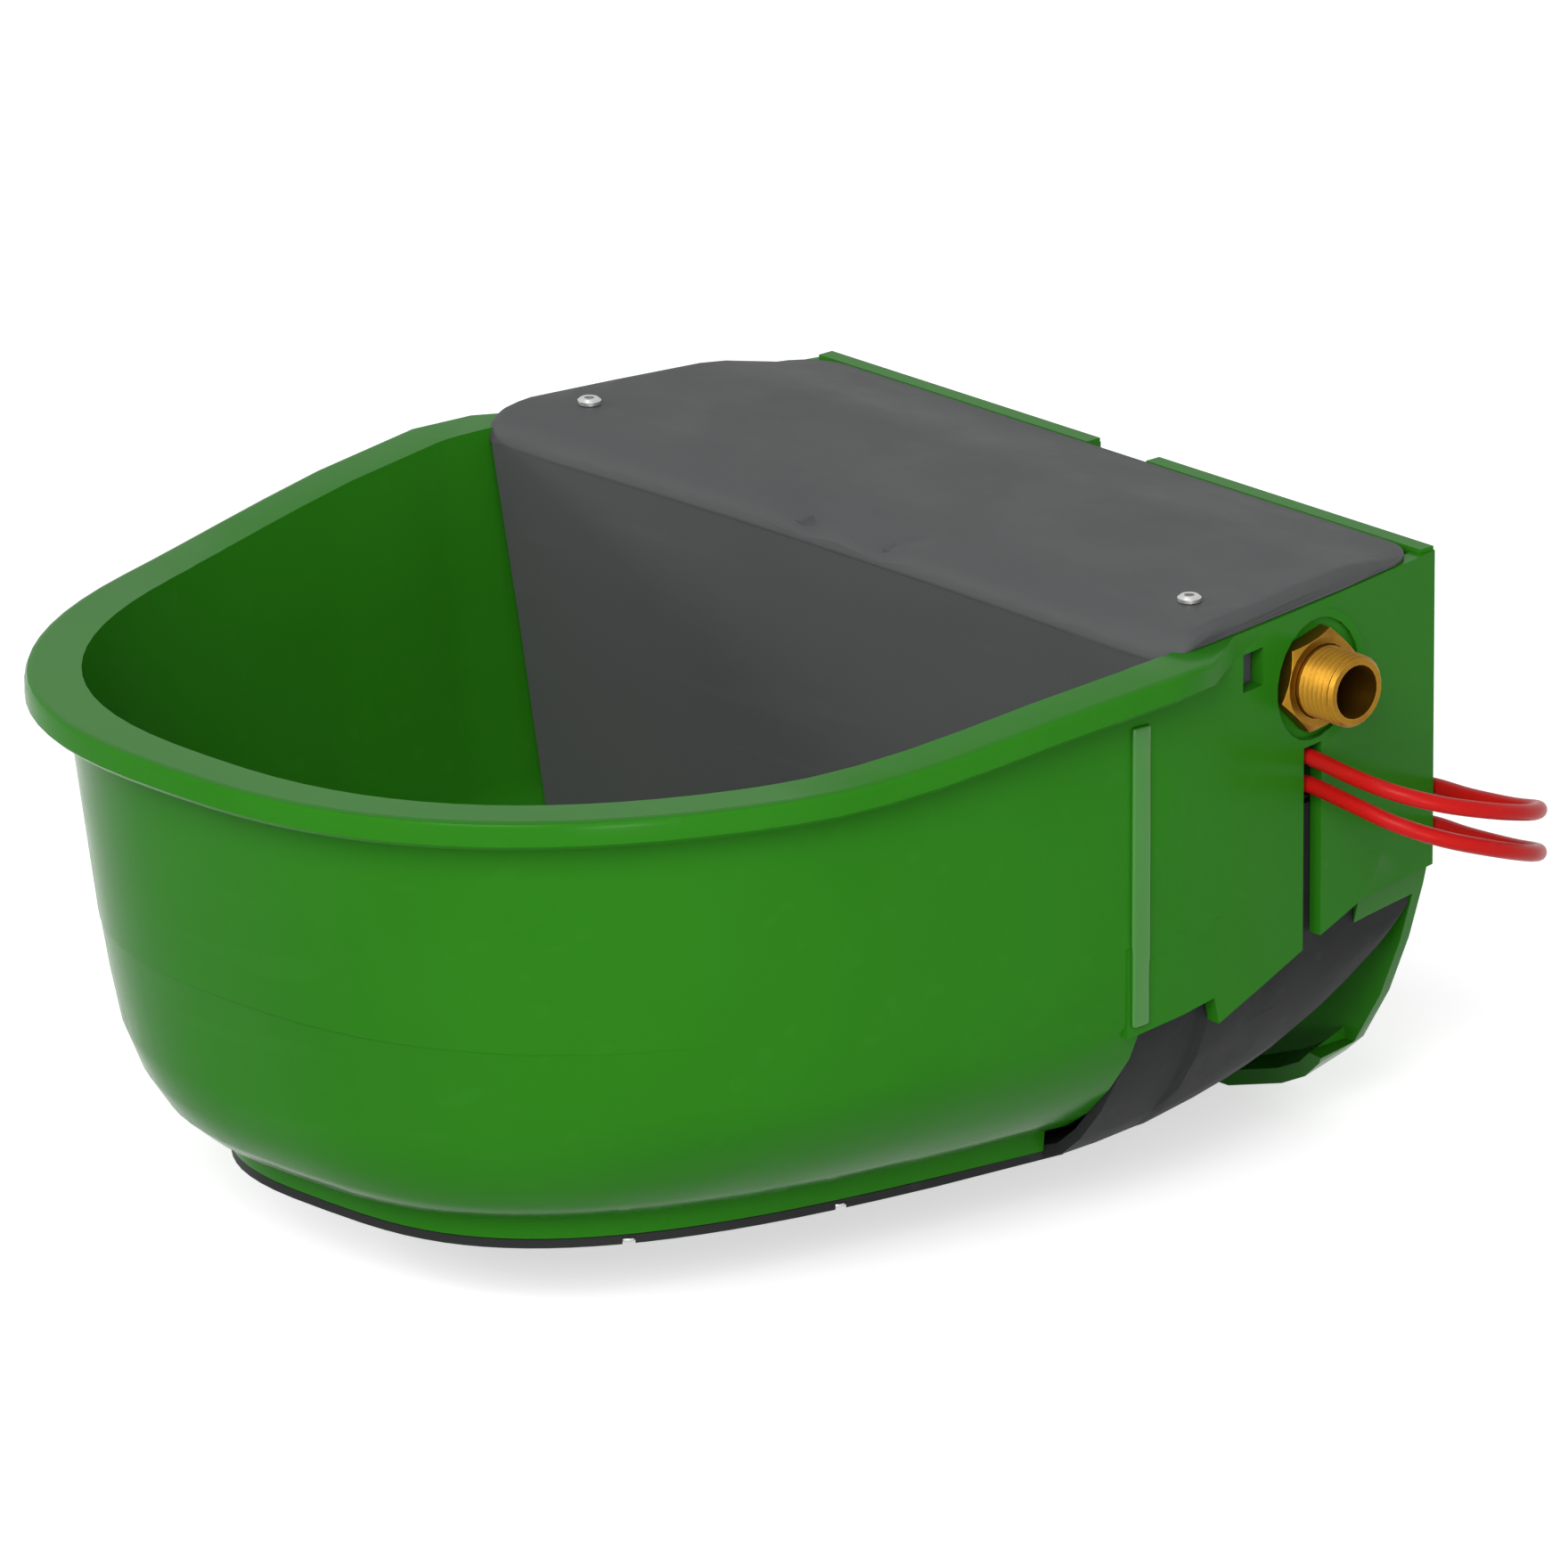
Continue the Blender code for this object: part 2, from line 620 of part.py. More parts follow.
def add_body_details(body):
    """Bosses, pads, holes, the cable slot and the passage behind."""
    for sign in (1, -1):
        top = cover_under()
        boss = rod("boss", place(sign * SCREW_X, SCREW_DEPTH, 0), (0, 0, 1), top - BOSS_TALL, top,
                   BOSS_RADIUS, segments=16)
        wall = side_half(SCREW_DEPTH) - WALL / 2
        web = block("web", (min(sign * SCREW_X, sign * wall), SCREW_DEPTH - WALL / 2,
                            top - BOSS_TALL),
                    (max(sign * SCREW_X, sign * wall), SCREW_DEPTH + WALL / 2, -RUN))
        add(body, boss, web)
        cut(body, rod("insert_hole", place(sign * SCREW_X, SCREW_DEPTH, 0), (0, 0, 1),
                      -SCREW_LENGTH - OVERSHOOT, COVER_RISE, INSERT_RADIUS + FIT, segments=16))
    axis = place(0, INLET_DEPTH, INLET_Z)
    add(body, rod("inlet_boss", axis, (1, 0, 0), BOSS_INNER_X, 0.1330, INLET_BOSS_RADIUS))
    cut(body, rod("spot_face", axis, (1, 0, 0), SPOT_FACE_X, 0.160, SPOT_RADIUS),
        rod("inlet_hole", axis, (1, 0, 0), 0.110, 0.140, THREAD_RADIUS + FIT))
    wall_x = side_half(SLOT_DEPTH)
    cut(body, block("cable_slot", (wall_x - 0.012, SLOT_DEPTH - SLOT_WIDTH / 2, -0.120),
                    (wall_x + 0.010, SLOT_DEPTH + SLOT_WIDTH / 2, SLOT_TOP)))
    window_x = side_half(WINDOW_DEPTH)
    cut(body, block("side_window", (window_x - 0.008, WINDOW_DEPTH - WINDOW_WIDTH / 2,
                                    WINDOW_TOP - WINDOW_TALL),
                    (window_x + 0.008, WINDOW_DEPTH + WINDOW_WIDTH / 2, WINDOW_TOP)))
    cut(body, block("passage", (PASSAGE_LEFT, -OVERSHOOT, PASSAGE_BOTTOM),
                    (PASSAGE_RIGHT, 2 * WALL, PASSAGE_TOP)))
    bead_half = side_half(0) - FIT
    add(body, block("back_bead", (-bead_half, FIT, -WALL), (bead_half, BEAD_DEEP, BEAD_TALL)))
    cut(body, block("notch", (-NOTCH_HALF, -OVERSHOOT, -NOTCH_DEEP),
                    (NOTCH_HALF, 2 * WALL, BEAD_TALL + OVERSHOOT)))
    holes = ((LOWER_HOLE_X, LOWER_HOLE_Z), (-LOWER_HOLE_X, LOWER_HOLE_Z), (0, UPPER_HOLE_Z))
    for x, z in holes:
        add(body, rod("pad", place(x, 0, z), (0, 1, 0), -WALL / 2, STAND_OFF, PAD_RADIUS))
        cut(body, rod("hole", place(x, 0, z), (0, 1, 0), -0.030, STAND_OFF + OVERSHOOT,
                      HOLE_RADIUS))
    add(body, block("middle_pad", (-PAD_HALF, -STAND_OFF, PAD_HEIGHT - PAD_HALF),
                    (PAD_HALF, WALL / 2, PAD_HEIGHT + PAD_HALF)))
    drain = place(0, DRAIN_DEPTH, 0)
    foot = BASE_BOTTOM - FIT - TRAY_PLATE - DRAIN_TUBE_OUT
    add(body, rod("outlet", drain, (0, 0, 1), foot, FLOOR_TOP - WALL / 2, outlet_radius()))
    cut(body, rod("drain_hole", drain, (0, 0, 1), foot - OVERSHOOT, FLOOR_TOP + OVERSHOOT,
                  DRAIN_RADIUS + RUN))


def outlet_radius():
    return DRAIN_RADIUS + RUN + DRAIN_TUBE


def cover_under():
    """Height of the screw bosses, just under the cover's plate."""
    return COVER_RISE - COVER_THICK - RUN


def cover_edge(x, middle, bow, power=2):
    """Depth of a bowed line across the cover."""
    return middle + bow * (abs(x) / CREASE_HALF) ** power


def cover_half(depth):
    """Half width of what hangs inside the walls."""
    return side_half(depth) - WALL - COVER_GAP


def corner(distance, radius):
    """How far a rounded corner draws back at a distance from the side."""
    share = min(max(1 - distance / radius, 0.0), 1.0)
    return radius * (1 - math.sqrt(1 - share * share))


def cover_level(depth, rear, front, crease):
    """Height of the cover's upper face: up from the back, level, then down to the front edge."""
    if depth < COVER_RAMP:
        share = max((depth - rear) / (COVER_RAMP - rear), 0.0)
        return COVER_REAR_RISE + (COVER_RISE - COVER_REAR_RISE) * share * share * (3 - 2 * share)
    if depth <= crease:
        return COVER_RISE
    share = (depth - crease) / (front - crease)
    return COVER_RISE - BAND_DROP * (BAND_EVEN * share + (1 - BAND_EVEN) * share ** 3)


def cover_columns():
    """Where the cover's lengthwise lines run, as a share of its width and a distance from its side."""
    inner = max(COVER_EDGE_STEPS)
    shares = [-1 + 2 * step / COVER_SHARES for step in range(1, COVER_SHARES)]
    left = [(-1, edge) for edge in COVER_EDGE_STEPS]
    right = [(1, edge) for edge in reversed(COVER_EDGE_STEPS)]
    return left + [(share, inner) for share in shares] + right


def cover_plate():
    """The cover's flat part. It rests on the side walls' rims, with rounded edges and corners."""
    rings = []
    for share, edge in cover_columns():
        outer = abs(share) == 1
        on_rim = outer and edge < WALL
        middle_x = share * (side_half(COVER_CREASE) - COVER_INSET - edge)
        front = cover_edge(middle_x, COVER_FRONT, COVER_BOW)
        crease = cover_edge(middle_x, COVER_CREASE, CREASE_BOW, CREASE_POWER)
        rear = COVER_REAR
        if outer:
            front -= corner(edge, COVER_CORNER_FRONT)
            rear += corner(edge, COVER_CORNER_REAR)
            crease = min(crease, front - 3 * COVER_ROUND)
        fall = corner(edge, COVER_ROUND) if outer else 0.0
        ramp = [rear + step * (COVER_RAMP - rear) for step in (0.25, 0.5, 0.75, 1.0)]
        band = [crease + step * (front - crease) for step in (0.0, 0.3, 0.6)]
        depths = ([rear, rear + 0.0010] + ramp + [0.5 * (COVER_RAMP + crease)] + band
                  + [front - 0.0030, front - 0.0010, front])
        drops = [COVER_ROUND * 0.6, 0.0004] + [0.0] * 9 + [0.0006, COVER_ROUND]
        ring = []
        for depth, drop in zip(depths, drops):
            x = share * (side_half(depth) - COVER_INSET - edge)
            top = cover_level(depth, rear, front, crease) - max(fall, drop)
            ring.append(place(x, depth, max(top, FIT + 0.0008)))
        for depth in (front, front - COVER_THICK, crease, COVER_RAMP, rear + COVER_THICK, rear):
            x = share * (side_half(depth) - COVER_INSET - edge)
            low = FIT
            if not on_rim and depth in (crease, COVER_RAMP, front - COVER_THICK):
                low = max(cover_level(depth, rear, front, crease) - COVER_THICK, FIT)
            ring.append(place(x, depth, low))
        rings.append(ring)
    return loft("float_cover", rings, strips=True)


def cover_skirt():
    """The front wall that hangs from the cover into the bowl."""
    columns = 14
    rings = []
    for step in range(columns + 1):
        share = -1 + 2 * step / columns
        top_x = share * (cover_half(COVER_FRONT) - SKIRT_SIDE_GAP)
        front = cover_edge(top_x, COVER_FRONT, COVER_BOW)
        foot = front - SKIRT_LEAN
        foot_x = share * (side_half(foot) - WALL - SIDE_INSET - SKIRT_SIDE_GAP
                          - SKIRT_FOOT_ROUND)
        face = front - FIT
        rings.append([place(top_x, face, SKIRT_TOP), place(foot_x, foot, SKIRT_BOTTOM),
                      place(foot_x, foot - SKIRT_THICK, SKIRT_BOTTOM),
                      place(top_x, face - SKIRT_THICK, SKIRT_TOP)])
    return loft("skirt", rings, strips=True)


def float_cover(material):
    """The grey cover: a raised lid with a skirt in front and ribs that keep it between the walls."""
    cover = cover_plate()
    add(cover, cover_skirt())
    for sign in (1, -1):
        for start, end, deep, top in RIB_SPANS:
            outer = side_plan(WALL + COVER_GAP + FIT, start, end, 3)
            inner = [(x - RIB_THICK, depth) for x, depth in reversed(outer)]
            plan = [(sign * x, depth) for x, depth in outer + inner]
            add(cover, plan_prism("rib", plan, -deep, top))
        cut(cover, rod("screw_hole", place(sign * SCREW_X, SCREW_DEPTH, 0), (0, 0, 1),
                       0.0, COVER_RISE + OVERSHOOT, SCREW_RADIUS + FIT, segments=16))
    dress(cover, material)
    return cover


def cover_screws(material):
    for sign, side in ((1, "right"), (-1, "left")):
        centre = place(sign * SCREW_X, SCREW_DEPTH, 0)
        profile = ((-SCREW_LENGTH, SCREW_RADIUS - 0.0004), (-SCREW_LENGTH + 0.001, SCREW_RADIUS),
                   (COVER_RISE + FIT, SCREW_RADIUS), (COVER_RISE + FIT, SCREW_HEAD_RADIUS),
                   (COVER_RISE + FIT + SCREW_HEAD_TALL * 0.6, SCREW_HEAD_RADIUS),
                   (COVER_RISE + FIT + SCREW_HEAD_TALL, SCREW_HEAD_RADIUS * 0.75))
        screw = turned("cover_screw_" + side, centre, (0, 0, 1), profile, segments=16)
        top = COVER_RISE + FIT + SCREW_HEAD_TALL
        cut(screw, rod("socket", centre, (0, 0, 1), top - 0.0014, top + 0.002, 0.0016,
                       segments=6))
        dress(screw, material)


def cover_screw_inserts(material):
    """Threaded brass inserts in the screw bosses."""
    top = cover_under() - FIT
    for sign, side in ((1, "right"), (-1, "left")):
        centre = place(sign * SCREW_X, SCREW_DEPTH, 0)
        insert = rod("screw_insert_" + side, centre, (0, 0, 1), top - INSERT_TALL, top,
                     INSERT_RADIUS, segments=16)
        cut(insert, rod("bore", centre, (0, 0, 1), top - 0.020, top + 0.002,
                        SCREW_RADIUS + FIT, segments=16))
        dress(insert, material)


def tray_bottom(depth):
    """Height of the under cover's lowest line, which rises towards the wall."""
    share = min(max((TRAY_FRONT - depth) / TRAY_FRONT, 0.0), 1.0)
    rise = TRAY_RISE * (1 - math.sqrt(1 - share * share))
    return BASE_BOTTOM - FIT - TRAY_PLATE / 2 + rise


def tray_section(depth, inset):
    """Half of the under cover's cross-section, from its upper edge to the middle."""
    out = side_half(depth) - WALL - TRAY_GAP - inset
    bottom = tray_bottom(depth) + inset
    top = panel_edge(depth) + TRAY_LAP
    if abs(depth - SLOT_DEPTH) < TRAY_TAB_HALF:
        top = TRAY_TAB_TOP
    start = max(min(TRAY_ROUND_TOP, panel_edge(depth) - 0.001), bottom + 0.010)
    corner = BASE_HALF - inset * 0.5
    points = [(out, top), (out, start)]
    steps = 5
    for step in range(1, steps + 1):
        angle = step / steps * math.pi / 2
        side = (1 - math.cos(angle)) * 0.45 + math.sin(angle) ** 1.25 * 0.55
        points.append((out + (corner - out) * side, start + (bottom - start) * math.sin(angle)))
    points.append((0.0, bottom))
    return points


def under_cover(material):
    """The grey shell that closes the heating space from below."""
    depths = [TRAY_REAR, 0.013, 0.022, 0.034, SLOT_DEPTH - TRAY_TAB_HALF - 0.0006,
              SLOT_DEPTH - TRAY_TAB_HALF + 0.0001, SLOT_DEPTH, SLOT_DEPTH + TRAY_TAB_HALF - 0.0001,
              SLOT_DEPTH + TRAY_TAB_HALF + 0.0006, 0.080, 0.0995, 0.1025, 0.118, TRAY_FRONT]
    rings = []
    for depth in depths:
        outer = tray_section(depth, 0.0)
        inner = tray_section(depth, TRAY_WALL)
        outer_ring = [(x, z) for x, z in outer]
        outer_ring += [(-x, z) for x, z in reversed(outer[:-1])]
        inner_ring = [(x, z) for x, z in inner]
        inner_ring += [(-x, z) for x, z in reversed(inner[:-1])]
        rings.append([place(x, depth, z) for x, z in outer_ring + inner_ring[::-1]])
    cover = loft("under_cover", rings, strips=True)
    low = BASE_BOTTOM - FIT - TRAY_PLATE
    plan = [(BASE_HALF - 0.001, CREASE_DEPTH - 0.008)]
    for turn in turns():
        plan.append(front_point(BASE_HALF - 0.001, BASE_FRONT - 0.001, BASE_SQUARENESS, turn,
                                CREASE_DEPTH))
    plan = plan + [(-x, depth) for x, depth in reversed(plan[:-1])]
    add(cover, plan_prism("base_plate", plan, low, BASE_BOTTOM - FIT))
    for x, depth in under_screw_places():
        hole = place(x, depth, low)
        cut(cover, rod("screw_hole", hole, (0, 0, 1), -OVERSHOOT, 2 * TRAY_PLATE,
                       SHOE_SCREW_RADIUS * SHANK_SHARE + FIT, segments=12),
            rod("recess", hole, (0, 0, 1), -OVERSHOOT, SHOE_SCREW_TALL + 2 * FIT,
                SHOE_SCREW_RADIUS + FIT, segments=12))
    cut(cover, rod("outlet_hole", place(0, DRAIN_DEPTH, low), (0, 0, 1), -OVERSHOOT,
                   2 * TRAY_PLATE, outlet_radius() + FIT))
    pad_low, pad_high = gland_pad()
    gland_axis = place(GLAND_X, GLAND_DEPTH, 0)
    add(cover, rod("gland_pad", gland_axis, (0, 0, 1), pad_low, pad_high, GLAND_PAD_RADIUS))
    cut(cover, rod("gland_hole", gland_axis, (0, 0, 1), -0.170, -0.110, GLAND_THREAD + FIT))
    dress(cover, material)
    return cover


def gland_pad():
    """Lower and upper face of the level pad for the cable gland."""
    low = tray_bottom(GLAND_DEPTH + GLAND_PAD_RADIUS) - FIT
    high = tray_bottom(GLAND_DEPTH - GLAND_PAD_RADIUS) + TRAY_WALL + RUN
    return low, high


def under_screw_places():
    """Six screws round the rim of the base."""
    inset = WALL
    found = []
    for turn in (0.12, 0.42, 0.78):
        x, depth = front_point(BASE_HALF - inset, BASE_FRONT - inset, BASE_SQUARENESS, turn,
                               CREASE_DEPTH + WALL)
        found += [(x, depth), (-x, depth)]
    return found


def under_cover_screws(body, material):
    """Screws that hold the under cover, each in a blind hole of the base ring."""
    face = BASE_BOTTOM - FIT - TRAY_PLATE
    shank = SHOE_SCREW_RADIUS * SHANK_SHARE
    seat = FIT + SHOE_SCREW_TALL
    for number, (x, depth) in enumerate(under_screw_places(), 1):
        centre = place(x, depth, face)
        profile = ((FIT, SHOE_SCREW_RADIUS * 0.8), (FIT + SHOE_SCREW_TALL * 0.4, SHOE_SCREW_RADIUS),
                   (seat, SHOE_SCREW_RADIUS), (seat, shank),
                   (SHOE_SCREW_LENGTH - RUN, shank), (SHOE_SCREW_LENGTH, shank * 0.5))
        screw = turned(f"under_cover_screw_{number}", centre, (0, 0, 1), profile, segments=12)
        dress(screw, material)
        cut(body, rod("screw_hole", centre, (0, 0, 1), 0.0, SHOE_SCREW_LENGTH + RUN, shank + FIT,
                      segments=12))


def heater_plate(material):
    top = FLOOR_TOP - WALL - FIT
    plate = block("heater_plate", (-HEATER_X, HEATER_DEPTH[0], top - HEATER_THICK),
                  (HEATER_X, HEATER_DEPTH[1], top))
    cut(plate, rod("room", place(0, DRAIN_DEPTH, 0), (0, 0, 1), BASE_BOTTOM, FLOOR_TOP,
                   outlet_radius() + FIT))
    dress(plate, material)
    return plate


def smooth_points(route, step):
    """Points along a smooth curve through the route's own points."""
    found = []
    count = len(route)
    for index in range(count - 1):
        before = route[max(index - 1, 0)]
        here = route[index]
        there = route[index + 1]
        after = route[min(index + 2, count - 1)]
        pieces = max(1, round((there - here).length / step))
        for piece in range(pieces):
            t = piece / pieces
            found.append(0.5 * ((2 * here) + (there - before) * t
                                + (2 * before - 5 * here + 4 * there - after) * t * t
                                + (3 * here - before - 3 * there + after) * t ** 3))
    found.append(route[-1])
    return found


def tube(name, points, radius, resolution, material):
    """A round tube along points, with closed ends."""
    curve = bpy.data.curves.new(name, 'CURVE')
    curve.dimensions = '3D'
    curve.bevel_depth = radius
    curve.bevel_resolution = resolution
    curve.use_fill_caps = True
    spline = curve.splines.new('POLY')
    spline.points.add(len(points) - 1)
    for spot, point in zip(spline.points, points):
        spot.co = (*point, 1.0)
    curve.materials.append(material)
    item = bpy.data.objects.new(name, curve)
    bpy.context.scene.collection.objects.link(item)
    return item


def floor_heating_cable(material):
    """The heating cable in loops under the floor's heat plate."""
    height = FLOOR_TOP - WALL - 2 * FIT - HEATER_THICK - FLOOR_CABLE_RADIUS
    start, end = HEATER_DEPTH[0] + 0.008, HEATER_DEPTH[1] - 0.008
    reach = HEATER_X - 0.012
    pitch = (end - start) / FLOOR_CABLE_RUNS
    clear = outlet_radius() + FLOOR_CABLE_RADIUS + 2 * RUN
    route = []
    for run in range(FLOOR_CABLE_RUNS + 1):
        depth = start + pitch * run
        sign = 1 if run % 2 == 0 else -1
        side = math.copysign(1.0, depth - DRAIN_DEPTH)
        for share in (1, 0.5, 0.22, 0.0, -0.22, -0.5, -1):
            bulge = math.sqrt(max(clear * clear - (share * reach) ** 2, 0.0))
            at = DRAIN_DEPTH + side * max(bulge, abs(depth - DRAIN_DEPTH))
            route.append(place(sign * share * reach, at, height))
        if run < FLOOR_CABLE_RUNS:
            route.append(place(-sign * (reach + pitch * 0.4), depth + pitch / 2, height))
    points = smooth_points(route, 0.020)
    return tube("floor_heating_cable", points, FLOOR_CABLE_RADIUS, 0, material)


def insulation_pad(material):
    top = FLOOR_TOP - WALL - 3 * FIT - HEATER_THICK - 2 * FLOOR_CABLE_RADIUS
    pad = block("insulation_pad", (-HEATER_X, HEATER_DEPTH[0], BASE_BOTTOM),
                (HEATER_X, HEATER_DEPTH[1], top))
    cut(pad, rod("room", place(0, DRAIN_DEPTH, 0), (0, 0, 1), BASE_BOTTOM - OVERSHOOT, FLOOR_TOP,
                 outlet_radius() + FIT))
    dress(pad, material)
    return pad


def drain_parts(rubber, plastic):
    """The drain plug in the bowl's floor with its sealing ring and the seat bush below."""
    centre = place(0, DRAIN_DEPTH, 0)
    seat = FLOOR_TOP + FIT + DRAIN_RING_THICK + FIT
    profile = ((FLOOR_TOP - WALL, DRAIN_RADIUS - 0.002), (FLOOR_TOP, DRAIN_RADIUS - 0.0005),
               (seat, DRAIN_RADIUS - 0.0005), (seat, DRAIN_HEAD_RADIUS),
               (seat + DRAIN_HEAD_TALL, DRAIN_HEAD_RADIUS - 0.0015),
               (seat + DRAIN_HEAD_TALL, 0.004), (seat + DRAIN_HEAD_TALL + 0.006, 0.003),
               (seat + DRAIN_HEAD_TALL + 0.010, 0.006), (seat + DRAIN_HEAD_TALL + 0.013, 0.005))
    plug = turned("drain_plug", centre, (0, 0, 1), profile, plastic)
    shade(plug)
    ring = rod("drain_plug_ring", centre, (0, 0, 1), FLOOR_TOP + FIT,
               FLOOR_TOP + FIT + DRAIN_RING_THICK, DRAIN_HEAD_RADIUS - 0.001)
    cut(ring, rod("bore", centre, (0, 0, 1), FLOOR_TOP - WALL, seat, DRAIN_RADIUS))
    dress(ring, rubber)
    return plug, ring


def control_box(material):
    """The sealed thermostat that switches both heating cables."""
    box = block("thermostat", THERMOSTAT_LOW, THERMOSTAT_HIGH)
    soften = box.modifiers.new("edges", 'BEVEL')
    soften.width = 0.0015
    soften.segments = 1
    box.data.materials.append(material)
    return box


def thermostat_post(material):
    """The bracket that carries the thermostat on the under cover."""
    middle = 0.5 * (THERMOSTAT_LOW[0] + THERMOSTAT_HIGH[0])
    far = THERMOSTAT_HIGH[1] - 0.006
    near = THERMOSTAT_LOW[1] + 0.006
    low = tray_bottom(near) + TRAY_WALL + FIT
    return block("thermostat_bracket", (middle - 0.012, near, low),
                 (middle + 0.012, far, THERMOSTAT_LOW[2] - FIT), material)


def lead_gland(material):
    """Cable gland for the supply lead, through the bottom of the under cover."""
    centre = place(GLAND_X, GLAND_DEPTH, 0)
    low, high = gland_pad()
    face = low - FIT
    profile = ((face - 0.014, 0.0065), (face - 0.010, 0.0090), (face, 0.0100),
               (face, GLAND_THREAD), (high + 0.008, GLAND_THREAD))
    gland = turned("lead_gland", centre, (0, 0, 1), profile)
    cut(gland, rod("bore", centre, (0, 0, 1), -0.200, -0.100, 0.0038))
    dress(gland, material)
    nut = rod("lead_gland_nut", centre, (0, 0, 1), high + FIT, high + FIT + 0.005, 0.0115,
              segments=6)
    cut(nut, rod("bore", centre, (0, 0, 1), -0.200, -0.100, GLAND_THREAD + FIT))
    dress(nut, material)
    return gland, nut


def inlet_valve_body(material):
    """Brass body: threaded pipe end outside, collar, barrel and two ears for the lever."""
    axis = place(0, INLET_DEPTH, INLET_Z)
    collar = BOSS_INNER_X - FIT - GASKET_THICK - FIT
    profile = [(BARREL_END, BARREL_RADIUS), (collar - COLLAR_THICK, BARREL_RADIUS),
               (collar - COLLAR_THICK, COLLAR_RADIUS), (collar, COLLAR_RADIUS),
               (collar, THREAD_RADIUS)]
    pitch = 0.001814
    turns_shown = 6
    start = INLET_END - 0.0012 - pitch * turns_shown
    for turn in range(turns_shown):
        profile.append((start + pitch * turn, THREAD_RADIUS))
        profile.append((start + pitch * (turn + 0.5), THREAD_RADIUS - 0.0009))
    profile.append((INLET_END - 0.0010, THREAD_RADIUS - 0.0001))
    profile.append((INLET_END, THREAD_RADIUS - 0.0010))
    valve = turned("inlet_valve_body", axis, (1, 0, 0), profile)
    pivot_z = INLET_Z - PIVOT_DROP
    for sign in (1, -1):
        inner = INLET_DEPTH + sign * EAR_GAP
        outer = INLET_DEPTH + sign * (EAR_GAP + EAR_THICK)
        ear = block("ear", (PIVOT_X - 0.005, min(inner, outer), pivot_z - 0.005),
                    (BARREL_END + 0.004, max(inner, outer), INLET_Z + 0.004))
        add(valve, ear)
    bore_end = BARREL_END + NOZZLE_LENGTH + 0.006
    cut(valve, rod("inlet_bore", axis, (1, 0, 0), bore_end, 0.170, BORE_RADIUS),
        rod("waterway", axis, (1, 0, 0), bore_end - 0.003, bore_end + 0.003, 0.0030,
            segments=12),
        rod("guide", axis, (1, 0, 0), BARREL_END - 0.010, bore_end - 0.001, GUIDE_RADIUS,
            segments=16),
        rod("pin_hole", place(PIVOT_X, INLET_DEPTH, pivot_z), (0, 1, 0), -0.02, 0.02,
            PIN_RADIUS + FIT, segments=16),
        rod("outlet", place(BARREL_END + 0.006, INLET_DEPTH, INLET_Z), (0, 0, -1), 0.0, 0.020,
            0.0022, segments=12))
    dress(valve, material)
    return valve


def inlet_lock_nut(material):
    axis = place(0, INLET_DEPTH, INLET_Z)
    seat = SPOT_FACE_X + FIT
    corner = NUT_FLATS / 2 / math.cos(math.pi / 6)
    nut = turned("inlet_lock_nut", axis, (1, 0, 0), ((seat, corner), (seat + NUT_THICK, corner)),
                 segments=6)
    chamfer = turned("chamfer", axis, (1, 0, 0),
                     ((seat - OVERSHOOT, corner + 0.003), (seat + NUT_THICK - 0.0032, corner + 0.003),
                      (seat + NUT_THICK + OVERSHOOT, corner - 0.0052)))
    combine(nut, chamfer, 'INTERSECT')
    cut(nut, rod("bore", axis, (1, 0, 0), 0.120, 0.150, THREAD_RADIUS + FIT))
    dress(nut, material)
    return nut


def inlet_gasket(material):
    axis = place(0, INLET_DEPTH, INLET_Z)
    face = BOSS_INNER_X - FIT
    gasket = rod("inlet_gasket", axis, (1, 0, 0), face - GASKET_THICK, face, GASKET_RADIUS)
    cut(gasket, rod("bore", axis, (1, 0, 0), 0.100, 0.150, THREAD_RADIUS + FIT))
    dress(gasket, material)
    return gasket


def valve_parts(brass, plastic, rubber):
    """Nozzle, plunger and plunger seal, on the inlet's axis."""
    axis = place(0, INLET_DEPTH, INLET_Z)
    end = BARREL_END + NOZZLE_LENGTH + 0.006 - 0.001 - FIT
    start = BARREL_END + NOZZLE_LENGTH
    nozzle = turned("valve_nozzle", axis, (1, 0, 0),
                    ((start - 0.002, 0.0026), (start, 0.0034), (start, GUIDE_RADIUS - FIT),
                     (end, GUIDE_RADIUS - FIT)), segments=16)
    cut(nozzle, rod("jet", axis, (1, 0, 0), 0.090, 0.120, NOZZLE_BORE, segments=12))
    dress(nozzle, brass)
    seat = start - 0.002 - FIT
    seal = rod("plunger_seal", axis, (1, 0, 0), seat - SEAL_THICK, seat, PLUNGER_RADIUS - 0.0004,
               rubber, 16)
    shade(seal)
    back = seat - SEAL_THICK - FIT
    tip = PIVOT_X + ARM_THICK / 2 + PLUNGER_PLAY
    plunger = turned("valve_plunger", axis, (1, 0, 0),
                     ((tip, PLUNGER_TIP), (tip + 2 * PLUNGER_TIP, PLUNGER_TIP),
                      (tip + 2 * PLUNGER_TIP, PLUNGER_RADIUS - 0.0002),
                      (back, PLUNGER_RADIUS - 0.0002)), plastic, 16)
    shade(plunger)
    return nozzle, seal, plunger


def arm_height():
    return INLET_Z - PIVOT_DROP


